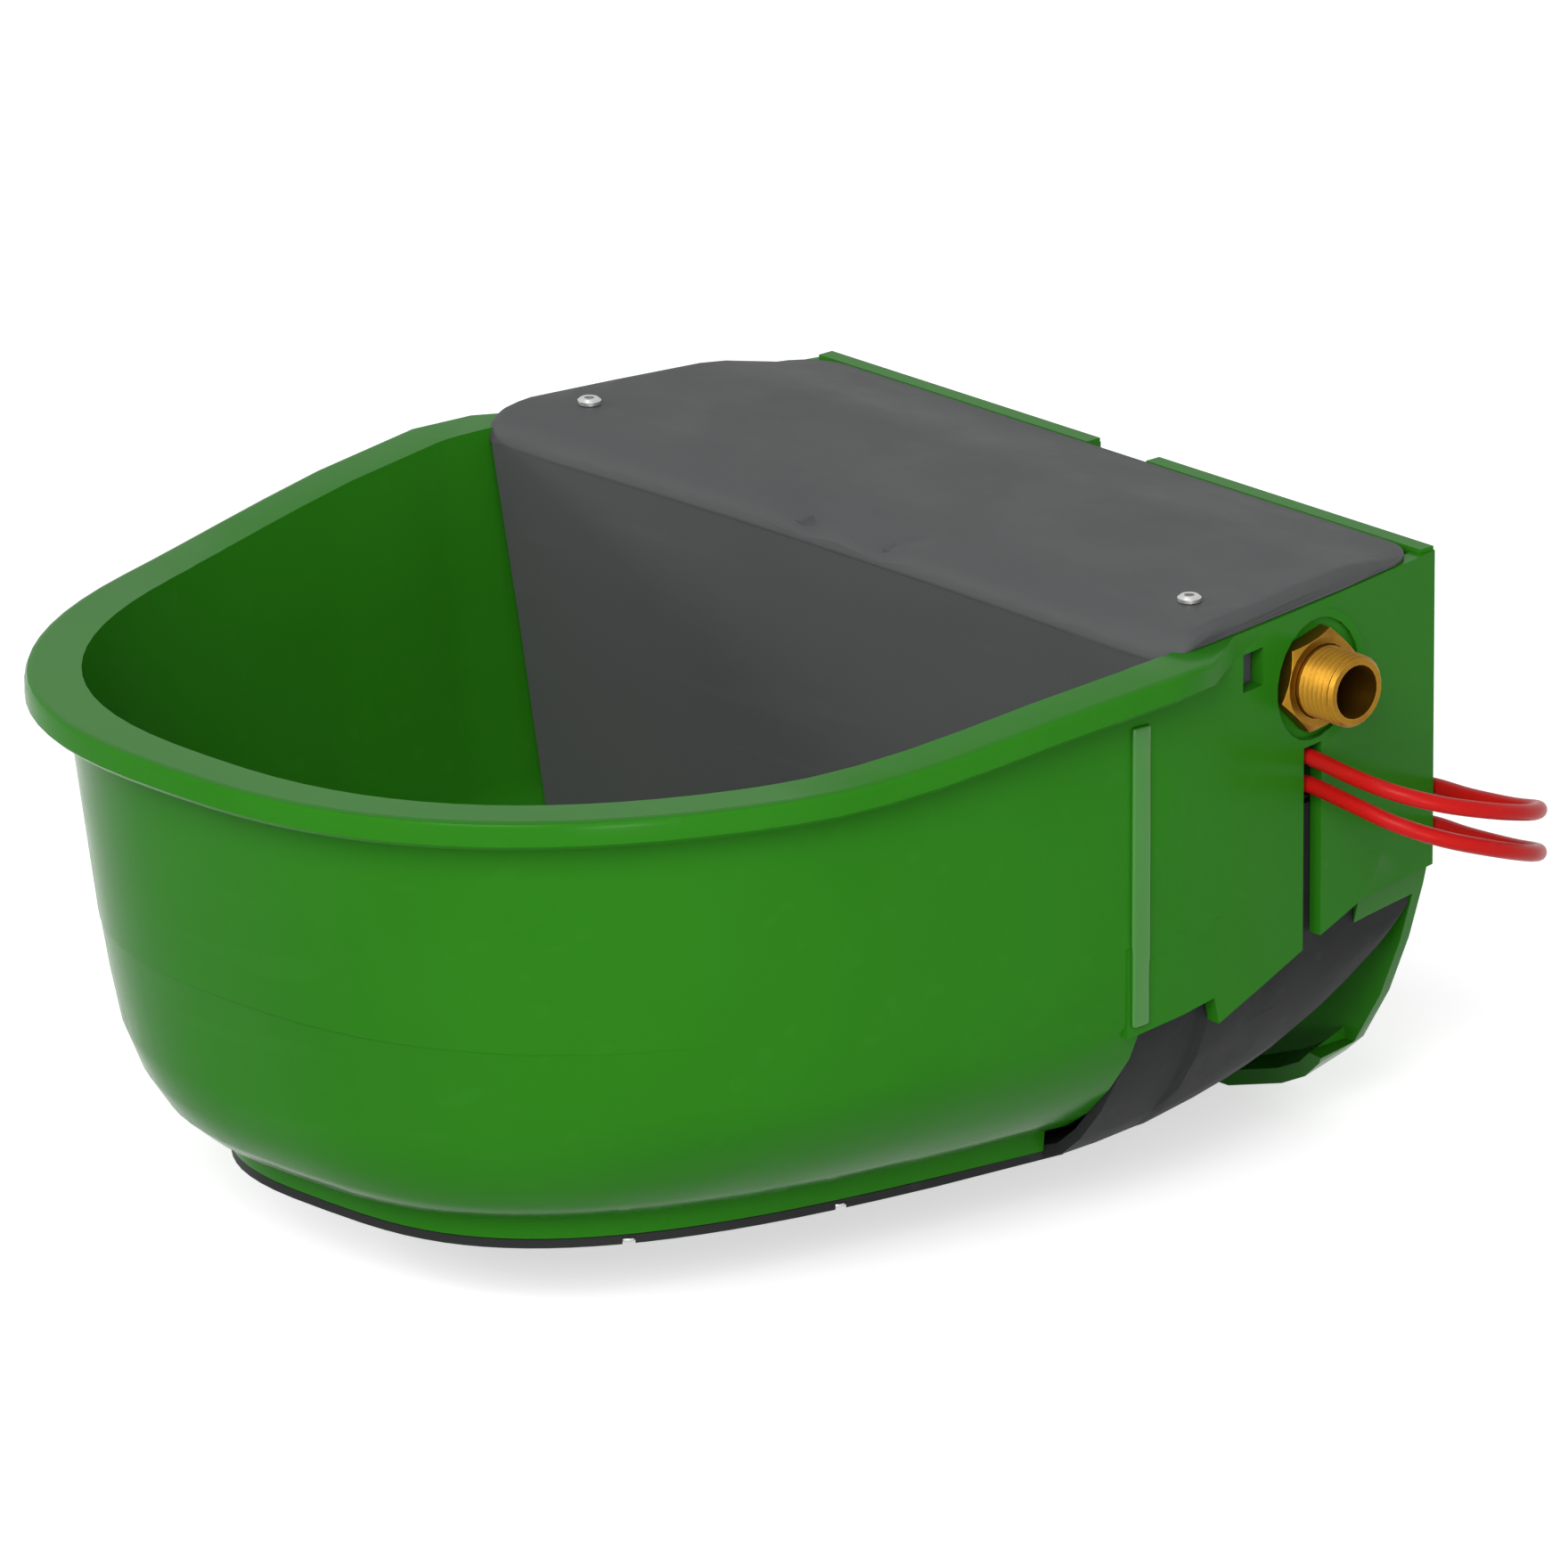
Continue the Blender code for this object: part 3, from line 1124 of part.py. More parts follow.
def float_arm(material):
    """Lever on the pivot pin: a tongue up to the plunger and a long arm to the float."""
    pivot = place(PIVOT_X, INLET_DEPTH, arm_height())
    half = EAR_GAP - 0.0006
    arm = rod("float_arm", pivot, (0, 1, 0), -half, half, HUB_RADIUS)
    tongue = block("tongue", (PIVOT_X - ARM_THICK / 2, INLET_DEPTH - half, arm_height()),
                   (PIVOT_X + ARM_THICK / 2, INLET_DEPTH + half, INLET_Z + 0.003))
    bar = block("bar", (PIVOT_X - ARM_LENGTH, INLET_DEPTH - half, arm_height() - ARM_THICK / 2),
                (PIVOT_X, INLET_DEPTH + half, arm_height() + ARM_THICK / 2))
    eye = rod("eye", place(PIVOT_X - ARM_LENGTH, INLET_DEPTH, arm_height()), (0, 0, 1),
              -ARM_THICK / 2, ARM_THICK / 2, 0.0075)
    add(arm, tongue, bar, eye)
    cut(arm, rod("pin_hole", pivot, (0, 1, 0), -0.02, 0.02, PIN_RADIUS + FIT, segments=16),
        rod("rod_hole", place(PIVOT_X - ARM_LENGTH, INLET_DEPTH, arm_height()), (0, 0, 1),
            -0.010, 0.010, ROD_RADIUS + FIT, segments=16))
    dress(arm, material)
    return arm


def float_top():
    return arm_height() - ARM_THICK / 2 - FIT


def water_float(material):
    """Hollow plastic float, made here as one closed solid with round edges."""
    x = PIVOT_X - ARM_LENGTH
    item = block("float", (x - FLOAT_LONG / 2, INLET_DEPTH - FLOAT_WIDE / 2,
                           float_top() - FLOAT_TALL),
                 (x + FLOAT_LONG / 2, INLET_DEPTH + FLOAT_WIDE / 2, float_top()))
    shape = bmesh.new()
    shape.from_mesh(item.data)
    upright = [edge for edge in shape.edges
               if abs(edge.verts[0].co.z - edge.verts[1].co.z) > FLOAT_TALL / 2]
    bmesh.ops.bevel(shape, geom=upright, offset=FLOAT_ROUND, segments=4, affect='EDGES',
                    profile=0.5)
    flat = [edge for edge in shape.edges
            if abs(edge.verts[0].co.z - edge.verts[1].co.z) < FLOAT_TALL / 2]
    bmesh.ops.bevel(shape, geom=flat, offset=0.0025, segments=2, affect='EDGES', profile=0.5)
    shape.to_mesh(item.data)
    shape.free()
    cut(item, rod("rod_hole", place(x, INLET_DEPTH, 0), (0, 0, 1), -0.080, 0.0,
                  ROD_RADIUS + FIT, segments=16))
    dress(item, material)
    return item


def float_rod(steel, plastic):
    """The screw through the float and the arm, and the wing nut that sets the water level."""
    centre = place(PIVOT_X - ARM_LENGTH, INLET_DEPTH, 0)
    bottom = float_top() - FLOAT_TALL
    top = arm_height() + ARM_THICK / 2
    screw = turned("float_level_screw", centre, (0, 0, 1),
                   ((bottom - FIT - 0.002, 0.0045), (bottom - FIT, 0.0045),
                    (bottom - FIT, ROD_RADIUS), (top + ROD_RISE, ROD_RADIUS),
                    (top + ROD_RISE + 0.001, ROD_RADIUS - 0.0006)), steel, 16)
    shade(screw)
    nut = rod("float_level_nut", centre, (0, 0, 1), top + FIT, top + FIT + 0.005, 0.0048,
              segments=16)
    for sign in (1, -1):
        x = centre.x
        wing = block("wing", (min(x, x + sign * WING_SPAN), INLET_DEPTH - 0.0010, top + FIT + 0.0014),
                     (max(x, x + sign * WING_SPAN), INLET_DEPTH + 0.0010, top + FIT + 0.0085))
        add(nut, wing)
    cut(nut, rod("bore", centre, (0, 0, 1), -0.060, 0.020, ROD_RADIUS + FIT, segments=16))
    dress(nut, plastic)
    return screw, nut


def pivot_parts(material):
    """The lever's pivot pin and the clip in its groove."""
    pivot = place(PIVOT_X, INLET_DEPTH, arm_height())
    outer = EAR_GAP + EAR_THICK
    pin = turned("float_pivot_pin", pivot, (0, 1, 0),
                 ((-outer - FIT - 0.0015, PIN_RADIUS + 0.0012), (-outer - FIT, PIN_RADIUS + 0.0012),
                  (-outer - FIT, PIN_RADIUS), (outer + FIT, PIN_RADIUS),
                  (outer + FIT, PIN_RADIUS - 0.0005),
                  (outer + FIT + CLIP_THICK + 2 * FIT, PIN_RADIUS - 0.0005),
                  (outer + FIT + CLIP_THICK + 2 * FIT, PIN_RADIUS),
                  (outer + 0.0030, PIN_RADIUS)), material, 16)
    shade(pin)
    clip = rod("pivot_clip", pivot, (0, 1, 0), outer + 2 * FIT, outer + 2 * FIT + CLIP_THICK,
               CLIP_RADIUS, segments=16)
    cut(clip, rod("bore", pivot, (0, 1, 0), 0.0, 0.02, PIN_RADIUS - 0.0005 + 0.0002, segments=12),
        block("mouth", (PIVOT_X - 0.0008, INLET_DEPTH - 0.02, arm_height() - 0.006),
              (PIVOT_X + 0.0008, INLET_DEPTH, arm_height())))
    dress(clip, material)
    return pin, clip


def pipe_heating_cable(material):
    """One cable in two turns, out of the side slot and back in behind the moulding."""
    route = [place(*point) for point in CABLE_ROUTE]
    return tube("pipe_heating_cable", smooth_points(route, CABLE_STEP), CABLE_RADIUS, 2, material)


def main():
    clear_scene()
    green = finish_material("green_plastic", (0.022, 0.145, 0.014), 0.30)
    grey = finish_material("grey_plastic", (0.085, 0.088, 0.090), 0.50)
    black = finish_material("black_plastic", (0.020, 0.020, 0.022), 0.55)
    white = finish_material("white_plastic", (0.70, 0.71, 0.68), 0.45)
    foam = finish_material("insulation_foam", (0.30, 0.30, 0.31), 0.90)
    rubber = finish_material("rubber", (0.015, 0.015, 0.015), 0.75)
    red = finish_material("red_silicone", (0.55, 0.013, 0.010), 0.38)
    brass = finish_material("brass", (0.60, 0.36, 0.07), 0.32, 1.0)
    steel = finish_material("stainless_steel", (0.62, 0.62, 0.62), 0.30, 1.0)
    alloy = finish_material("aluminium", (0.75, 0.76, 0.77), 0.40, 1.0)

    body = trough_body(green)
    float_cover(grey)
    cover_screws(steel)
    cover_screw_inserts(brass)
    under_cover(grey)
    under_cover_screws(body, steel)
    heater_plate(alloy)
    floor_heating_cable(red)
    insulation_pad(foam)
    control_box(black)
    thermostat_post(grey)
    lead_gland(black)
    drain_parts(rubber, black)
    inlet_valve_body(brass)
    inlet_lock_nut(brass)
    inlet_gasket(rubber)
    valve_parts(brass, white, rubber)
    float_arm(steel)
    water_float(white)
    float_rod(steel, white)
    pivot_parts(steel)
    pipe_heating_cable(red)


main()
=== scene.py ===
import math

import bpy
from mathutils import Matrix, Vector


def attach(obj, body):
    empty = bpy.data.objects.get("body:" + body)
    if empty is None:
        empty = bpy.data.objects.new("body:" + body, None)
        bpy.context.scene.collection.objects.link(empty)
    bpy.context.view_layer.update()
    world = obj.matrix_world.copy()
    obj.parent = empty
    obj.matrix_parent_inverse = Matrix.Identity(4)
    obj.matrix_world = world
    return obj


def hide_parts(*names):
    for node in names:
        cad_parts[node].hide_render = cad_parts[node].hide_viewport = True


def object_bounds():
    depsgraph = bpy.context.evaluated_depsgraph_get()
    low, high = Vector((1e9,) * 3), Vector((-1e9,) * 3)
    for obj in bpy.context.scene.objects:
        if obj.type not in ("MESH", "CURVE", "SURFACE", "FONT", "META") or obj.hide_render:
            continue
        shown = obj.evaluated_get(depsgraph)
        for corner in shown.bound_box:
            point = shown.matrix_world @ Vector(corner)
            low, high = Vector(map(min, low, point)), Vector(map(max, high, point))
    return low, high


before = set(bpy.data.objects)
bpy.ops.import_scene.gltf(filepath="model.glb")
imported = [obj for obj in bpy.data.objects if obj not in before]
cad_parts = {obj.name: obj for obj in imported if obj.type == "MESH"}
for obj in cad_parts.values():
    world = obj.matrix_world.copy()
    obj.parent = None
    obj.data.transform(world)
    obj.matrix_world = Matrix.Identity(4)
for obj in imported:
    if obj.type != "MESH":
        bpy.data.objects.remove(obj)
cadLow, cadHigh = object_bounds()


cameraSettings = {
    "azimuth": 47.0,             # degrees from the front, towards the right side
    "elevation": 18.5,
    "aim": (-0.0446, -0.0993, 0.0039),
    "distance": 8.0,             # far off, as the photo has almost no perspective
    "pictureWidth": 0.440,       # metres across the picture at the aim point
    "sensor": 36.0,
    "clipStart": 0.5,
    "clipEnd": 60.0,
}


def placeCamera(settings):
    azimuth = math.radians(settings["azimuth"])
    elevation = math.radians(settings["elevation"])
    back = Vector((math.sin(azimuth) * math.cos(elevation),
                   -math.cos(azimuth) * math.cos(elevation),
                   math.sin(elevation)))
    data = bpy.data.cameras.new("photoCamera")
    data.sensor_width = settings["sensor"]
    data.lens = settings["sensor"] * settings["distance"] / settings["pictureWidth"]
    data.clip_start = settings["clipStart"]
    data.clip_end = settings["clipEnd"]
    camera = bpy.data.objects.new("photoCamera", data)
    bpy.context.scene.collection.objects.link(camera)
    camera.location = Vector(settings["aim"]) + back * settings["distance"]
    camera.rotation_euler = back.to_track_quat("Z", "Y").to_euler()
    bpy.context.scene.camera = camera


placeCamera(cameraSettings)
print("camera placed")


def newGroup(name, inputs, outputs):
    group = bpy.data.node_groups.new(name, "ShaderNodeTree")
    for label, kind, value in inputs:
        socket = group.interface.new_socket(label, in_out="INPUT", socket_type=kind)
        if value is not None:
            socket.default_value = value
    for label, kind in outputs:
        group.interface.new_socket(label, in_out="OUTPUT", socket_type=kind)
    start = group.nodes.new("NodeGroupInput")
    end = group.nodes.new("NodeGroupOutput")
    return group, start, end


def addNode(tree, kind, values=None, settings=None):
    node = tree.nodes.new(kind)
    for key, value in (settings or {}).items():
        setattr(node, key, value)
    for key, value in (values or {}).items():
        node.inputs[key].default_value = value
    return node


# Each value is a number or another node's output.
def mathNode(tree, operation, *values, clamp=False):
    node = addNode(tree, "ShaderNodeMath", settings={"operation": operation, "use_clamp": clamp})
    for index, value in enumerate(values):
        if isinstance(value, (int, float)):
            node.inputs[index].default_value = value
        else:
            tree.links.new(value, node.inputs[index])
    return node.outputs[0]


# The value moved from one span to another, and held at its ends.
def mapRange(tree, value, span, result=(0.0, 1.0)):
    node = addNode(tree, "ShaderNodeMapRange", {
        "From Min": span[0], "From Max": span[1], "To Min": result[0], "To Max": result[1]})
    tree.links.new(value, node.inputs["Value"])
    return node.outputs["Result"]


def noiseNode(tree, vector, values):
    node = addNode(tree, "ShaderNodeTexNoise", values)
    tree.links.new(vector, node.inputs["Vector"])
    return node


mouldSkinSettings = {
    "drift": {"Scale": 14.0, "Detail": 3.0, "Roughness": 0.5},     # slow change of tone
    "driftSpan": (0.3, 0.7),
    "grain": {"Detail": 2.0, "Roughness": 0.45},                   # its scale is the material's
    "wave": {"Scale": 55.0, "Detail": 1.0, "Roughness": 0.4},      # slow change of height
    "waveShare": 1.6,
    "patch": {"Scale": 34.0, "Detail": 4.0, "Roughness": 0.6},     # duller and glossier areas
    "patchSpan": (0.35, 0.65),
}


# Skin of an injection moulding: a slow drift of tone and a very fine grain.
def makeMouldSkin(settings):
    group, start, end = newGroup(
        "mouldSkin",
        [("Vector", "NodeSocketVector", None), ("Grain Scale", "NodeSocketFloat", 900.0)],
        [("Drift", "NodeSocketFloat"), ("Height", "NodeSocketFloat"), ("Gloss", "NodeSocketFloat")])
    links = group.links
    vector = start.outputs["Vector"]
    drift = noiseNode(group, vector, settings["drift"])
    links.new(mapRange(group, drift.outputs["Fac"], settings["driftSpan"]), end.inputs["Drift"])
    grain = noiseNode(group, vector, settings["grain"])
    links.new(start.outputs["Grain Scale"], grain.inputs["Scale"])
    wave = noiseNode(group, vector, settings["wave"])
    soft = mathNode(group, "MULTIPLY", wave.outputs["Fac"], settings["waveShare"])
    links.new(mathNode(group, "ADD", grain.outputs["Fac"], soft), end.inputs["Height"])
    patch = noiseNode(group, vector, settings["patch"])
    links.new(mapRange(group, patch.outputs["Fac"], settings["patchSpan"]), end.inputs["Gloss"])
    return group


scratchSettings = {
    # for each direction: its turn in radians, and how short the marks are
    "directions": ((0.5, 9.0), (-0.9, 12.0)),
    "tilt": 0.3,
    "twist": 1.7,
    "thin": 140.0,
    "noise": {"Scale": 1.0, "Detail": 0.0, "Roughness": 0.0},
    "span": (0.735, 0.80),       # only the peaks of the noise are marks
}


# A few thin handling marks as a mask from 0 to 1.
def makeFineScratches(settings):
    group, start, end = newGroup(
        "fineScratches",
        [("Vector", "NodeSocketVector", None), ("Amount", "NodeSocketFloat", 0.5)],
        [("Mask", "NodeSocketFloat")])
    links = group.links
    thin = settings["thin"]
    masks = []
    for turn, short in settings["directions"]:
        place = addNode(group, "ShaderNodeMapping", {
            "Rotation": (settings["tilt"], turn, turn * settings["twist"]),
            "Scale": (short, thin, thin)})
        links.new(start.outputs["Vector"], place.inputs["Vector"])
        cells = noiseNode(group, place.outputs["Vector"], settings["noise"])
        masks.append(mapRange(group, cells.outputs["Fac"], settings["span"]))
    both = mathNode(group, "MAXIMUM", *masks)
    links.new(mathNode(group, "MULTIPLY", both, start.outputs["Amount"], clamp=True),
              end.inputs["Mask"])
    return group


metalGrainSettings = {
    "lines": {"Scale": 420.0, "Detail": 3.0, "Roughness": 0.55},
    "cloud": {"Scale": 70.0, "Detail": 5.0, "Roughness": 0.6},
    "cloudSpan": (0.42, 0.72),
}


# Cast or turned metal: a fine uneven height and a patchy tarnish mask.
def makeMetalGrain(settings):
    group, start, end = newGroup(
        "metalGrain",
        [("Vector", "NodeSocketVector", None), ("Stretch", "NodeSocketVector", (1.0, 1.0, 1.0))],
        [("Height", "NodeSocketFloat"), ("Tarnish", "NodeSocketFloat")])
    links = group.links
    scale = addNode(group, "ShaderNodeVectorMath", settings={"operation": "MULTIPLY"})
    links.new(start.outputs["Vector"], scale.inputs[0])
    links.new(start.outputs["Stretch"], scale.inputs[1])
    lines = noiseNode(group, scale.outputs["Vector"], settings["lines"])
    links.new(lines.outputs["Fac"], end.inputs["Height"])
    cloud = noiseNode(group, start.outputs["Vector"], settings["cloud"])
    links.new(mapRange(group, cloud.outputs["Fac"], settings["cloudSpan"]), end.inputs["Tarnish"])
    return group


edgeWearSettings = {
    "samples": 4,
    "span": (0.995, 0.90),       # likeness of the rounded and the true normal, flat to worn
}


# A mask that is 1 on sharp edges and 0 on flat faces.
def makeEdgeWear(settings):
    group, start, end = newGroup("edgeWear", [("Radius", "NodeSocketFloat", 0.0005)],
                                 [("Mask", "NodeSocketFloat")])
    links = group.links
    bevel = addNode(group, "ShaderNodeBevel", settings={"samples": settings["samples"]})
    links.new(start.outputs["Radius"], bevel.inputs["Radius"])
    geometry = group.nodes.new("ShaderNodeNewGeometry")
    dot = addNode(group, "ShaderNodeVectorMath", settings={"operation": "DOT_PRODUCT"})
    links.new(bevel.outputs["Normal"], dot.inputs[0])
    links.new(geometry.outputs["Normal"], dot.inputs[1])
    links.new(mapRange(group, dot.outputs["Value"], settings["span"]), end.inputs["Mask"])
    return group


mouldSkin = makeMouldSkin(mouldSkinSettings)
fineScratches = makeFineScratches(scratchSettings)
metalGrain = makeMetalGrain(metalGrainSettings)
edgeWear = makeEdgeWear(edgeWearSettings)
print("node groups made")


def newMaterial(name):
    material = bpy.data.materials.new(name)
    material.use_nodes = True
    tree = material.node_tree
    shader = tree.nodes["Principled BSDF"]
    coordinates = tree.nodes.new("ShaderNodeTexCoord")
    return material, tree, shader, coordinates.outputs["Object"]


# One of the node groups, placed in a material with its own values.
def placeGroup(tree, group, values, vector=None):
    node = addNode(tree, "ShaderNodeGroup", values, {"node_tree": group})
    if vector is not None:
        tree.links.new(vector, node.inputs["Vector"])
    return node


# A Mix node has sockets of the same name for each kind of value, so they go by number.
colourMix = {"first": 6, "second": 7, "result": 2}
valueMix = {"first": 2, "second": 3, "result": 0}


# first and second are colours or colour outputs, factor is an output.
def mixColours(tree, factor, first, second, amount=None):
    node = addNode(tree, "ShaderNodeMix", settings={"data_type": "RGBA"})
    if amount is not None:
        factor = mathNode(tree, "MULTIPLY", factor, amount, clamp=True)
    tree.links.new(factor, node.inputs["Factor"])
    for key, value in ((colourMix["first"], first), (colourMix["second"], second)):
        if isinstance(value, tuple):
            node.inputs[key].default_value = value
        else:
            tree.links.new(value, node.inputs[key])
    return node.outputs[colourMix["result"]]


# Roughness that follows a mask between two values, and is higher on the fine marks.
def linkRoughness(tree, shader, mask, low, high, marks, markRough):
    rough = mapRange(tree, mask, (0.0, 1.0), (low, high))
    extra = mathNode(tree, "MULTIPLY", marks.outputs["Mask"], markRough)
    tree.links.new(mathNode(tree, "ADD", rough, extra, clamp=True), shader.inputs["Roughness"])


def linkBump(tree, shader, height, strength, deep):
    bump = addNode(tree, "ShaderNodeBump", {"Strength": strength, "Distance": deep})
    tree.links.new(height, bump.inputs["Height"])
    tree.links.new(bump.outputs["Normal"], shader.inputs["Normal"])


def plasticMaterial(name, settings):
    material, tree, shader, vector = newMaterial(name)
    skin = placeGroup(tree, mouldSkin, {"Grain Scale": settings["grainScale"]}, vector)
    marks = placeGroup(tree, fineScratches, {"Amount": settings["scratches"]}, vector)
    colour = mixColours(tree, skin.outputs["Drift"], settings["colour"], settings["driftColour"])
    colour = mixColours(tree, marks.outputs["Mask"], colour, settings["scratchColour"],
                        settings["scratchShare"])
    tree.links.new(colour, shader.inputs["Base Color"])
    linkRoughness(tree, shader, skin.outputs["Gloss"],
                  settings["rough"] - settings["roughSpread"],
                  settings["rough"] + settings["roughSpread"], marks, settings["scratchRough"])
    linkBump(tree, shader, skin.outputs["Height"], settings["bump"], settings["bumpDeep"])
    shader.inputs["Specular IOR Level"].default_value = settings["specular"]
    shader.inputs["Subsurface Weight"].default_value = settings["subsurface"]
    shader.inputs["Subsurface Scale"].default_value = settings["subsurfaceScale"]
    return material


def metalMaterial(name, settings):
    material, tree, shader, vector = newMaterial(name)
    grain = placeGroup(tree, metalGrain, {"Stretch": settings["stretch"]}, vector)
    marks = placeGroup(tree, fineScratches, {"Amount": settings["scratches"]}, vector)
    worn = placeGroup(tree, edgeWear, {"Radius": settings["wearRadius"]})
    colour = mixColours(tree, grain.outputs["Tarnish"], settings["colour"],
                        settings["tarnishColour"], settings["tarnish"])
    colour = mixColours(tree, worn.outputs["Mask"], colour, settings["wornColour"],
                        settings["wornShare"])
    tree.links.new(colour, shader.inputs["Base Color"])
    linkRoughness(tree, shader, grain.outputs["Tarnish"], settings["rough"],
                  settings["rough"] + settings["roughSpread"], marks, settings["scratchRough"])
    linkBump(tree, shader, grain.outputs["Height"], settings["bump"], settings["bumpDeep"])
    shader.inputs["Metallic"].default_value = 1.0
    return material


# what all the plastics share
plasticBase = {
    "scratches": 0.15,           # how strongly the fine marks show
    "scratchShare": 0.35,        # how far a mark takes its own colour
    "scratchRough": 0.12,        # how much rougher a mark is
    "subsurface": 0.0,
    "subsurfaceScale": 0.0015,
}
greenSettings = dict(plasticBase, colour=(0.0160, 0.138, 0.0050, 1.0),
                     driftColour=(0.0185, 0.147, 0.0070, 1.0),
                     scratchColour=(0.040, 0.20, 0.030, 1.0), grainScale=900.0, rough=0.22,
                     roughSpread=0.03, bump=0.06, bumpDeep=0.00022, specular=0.045)
# the strip shines more than the rest and so catches more light
stripFinish = dict(greenSettings, specular=0.55, rough=0.32)
greySettings = dict(plasticBase, colour=(0.068, 0.070, 0.071, 1.0),
                    driftColour=(0.073, 0.075, 0.076, 1.0),
                    scratchColour=(0.13, 0.13, 0.13, 1.0), grainScale=1100.0, rough=0.46,
                    roughSpread=0.04, bump=0.14, bumpDeep=0.00025, specular=0.04)
# the lid's grey darkened for the underside: painted shade, as the underside faces down and away
# from the light
underShadeSettings = dict(greySettings, colour=(0.021, 0.0215, 0.022, 1.0),
                     driftColour=(0.024, 0.0245, 0.025, 1.0), rough=0.52)
blackSettings = dict(greySettings, colour=(0.012, 0.012, 0.013, 1.0),
                     driftColour=(0.017, 0.017, 0.018, 1.0),
                     scratchColour=(0.06, 0.06, 0.06, 1.0), rough=0.42)
whiteSettings = dict(greySettings, colour=(0.72, 0.72, 0.69, 1.0),
                     driftColour=(0.78, 0.78, 0.75, 1.0),
                     scratchColour=(0.60, 0.60, 0.57, 1.0), rough=0.38, subsurface=0.15)
foamSettings = dict(greySettings, colour=(0.20, 0.20, 0.21, 1.0),
                    driftColour=(0.28, 0.28, 0.29, 1.0), scratches=0.0, grainScale=520.0,
                    rough=0.88, roughSpread=0.03, bump=0.9, bumpDeep=0.0006, specular=0.2)
rubberSettings = dict(greySettings, colour=(0.018, 0.018, 0.019, 1.0),
                      driftColour=(0.026, 0.026, 0.027, 1.0), scratches=0.1, rough=0.68,
                      specular=0.3)
redSettings = dict(greySettings, colour=(0.36, 0.0050, 0.0045, 1.0),
                   driftColour=(0.41, 0.0070, 0.0060, 1.0),
                   scratchColour=(0.62, 0.08, 0.07, 1.0), grainScale=1500.0,
                   rough=0.36, roughSpread=0.05, bump=0.12, specular=0.10, subsurface=0.05)
# what all the metals share
metalBase = {
    "wornShare": 0.6,            # how far a worn edge takes its own colour
    "scratchRough": 0.15,
}
brassSettings = dict(metalBase, colour=(0.300, 0.150, 0.014, 1.0),
                     tarnishColour=(0.160, 0.070, 0.008, 1.0),
                     wornColour=(0.48, 0.28, 0.05, 1.0), tarnish=0.7, wearRadius=0.0005,
                     stretch=(1.0, 1.0, 1.0), scratches=0.4, rough=0.42, roughSpread=0.12,
                     bump=0.14, bumpDeep=0.0002)
steelSettings = dict(metalBase, colour=(0.56, 0.56, 0.55, 1.0),
                     tarnishColour=(0.42, 0.42, 0.41, 1.0),
                     wornColour=(0.78, 0.78, 0.77, 1.0), tarnish=0.5, wearRadius=0.0003,
                     stretch=(1.0, 1.0, 0.12), scratches=0.5, rough=0.38, roughSpread=0.10,
                     bump=0.10, bumpDeep=0.0001)
aluminiumSettings = dict(steelSettings, colour=(0.68, 0.69, 0.70, 1.0),
                         tarnishColour=(0.55, 0.56, 0.57, 1.0),
                         wornColour=(0.84, 0.85, 0.86, 1.0), rough=0.36,
                         stretch=(0.06, 1.0, 1.0))

materials = {
    "green": plasticMaterial("greenMoulding", greenSettings),
    "greenStrip": plasticMaterial("greenStrip", stripFinish),
    "grey": plasticMaterial("greyLid", greySettings),
    # the underside's darker grey is painted shade
    "under": plasticMaterial("greyUndersidePaintedShade", underShadeSettings),
    "black": plasticMaterial("blackPlastic", blackSettings),
    "white": plasticMaterial("whiteAcetal", whiteSettings),
    "foam": plasticMaterial("insulationFoam", foamSettings),
    "rubber": plasticMaterial("blackRubber", rubberSettings),
    "red": plasticMaterial("redSilicone", redSettings),
    "brass": metalMaterial("brass", brassSettings),
    "steel": metalMaterial("stainlessSteel", steelSettings),
    "aluminium": metalMaterial("aluminiumSheet", aluminiumSettings),
}
print("materials made")


def only(obj):
    bpy.ops.object.select_all(action="DESELECT")
    obj.select_set(True)
    bpy.context.view_layer.objects.active = obj


def applyModifier(obj, name):
    only(obj)
    bpy.ops.object.modifier_apply(modifier=name)


def smoothShade(obj, degrees):
    only(obj)
    bpy.ops.object.shade_smooth_by_angle(angle=math.radians(degrees))


# Sharp edges rounded by a bevel.
def roundEdges(obj, width, segments, degrees, outer="MITER_SHARP"):
    bevel = obj.modifiers.new("edges", "BEVEL")
    bevel.width = width
    bevel.segments = segments
    bevel.limit_method = "ANGLE"
    bevel.angle_limit = math.radians(degrees)
    bevel.miter_outer = outer
    applyModifier(obj, "edges")


# Shading that large faces rule more than small ones, over the neutral weight of 50.
def weightNormals(obj, weight):
    weighted = obj.modifiers.new("weighted", "WEIGHTED_NORMAL")
    weighted.keep_sharp = True
    weighted.weight = weight
    applyModifier(obj, "weighted")


# A fresh object with the node's shape and its seams merged.
def mergedCopy(node, name, nearest):
    source = bpy.data.objects[node]
    obj = bpy.data.objects.new(name, source.data.copy())
    obj.matrix_world = source.matrix_world.copy()
    bpy.context.scene.collection.objects.link(obj)
    only(obj)
    bpy.ops.object.transform_apply(location=True, rotation=True, scale=True)
    if obj.data.has_custom_normals:
        bpy.ops.mesh.customdata_custom_splitnormals_clear()
    bpy.ops.object.mode_set(mode="EDIT")
    bpy.ops.mesh.select_all(action="SELECT")
    bpy.ops.mesh.remove_doubles(threshold=nearest)
    bpy.ops.object.mode_set(mode="OBJECT")
    return obj


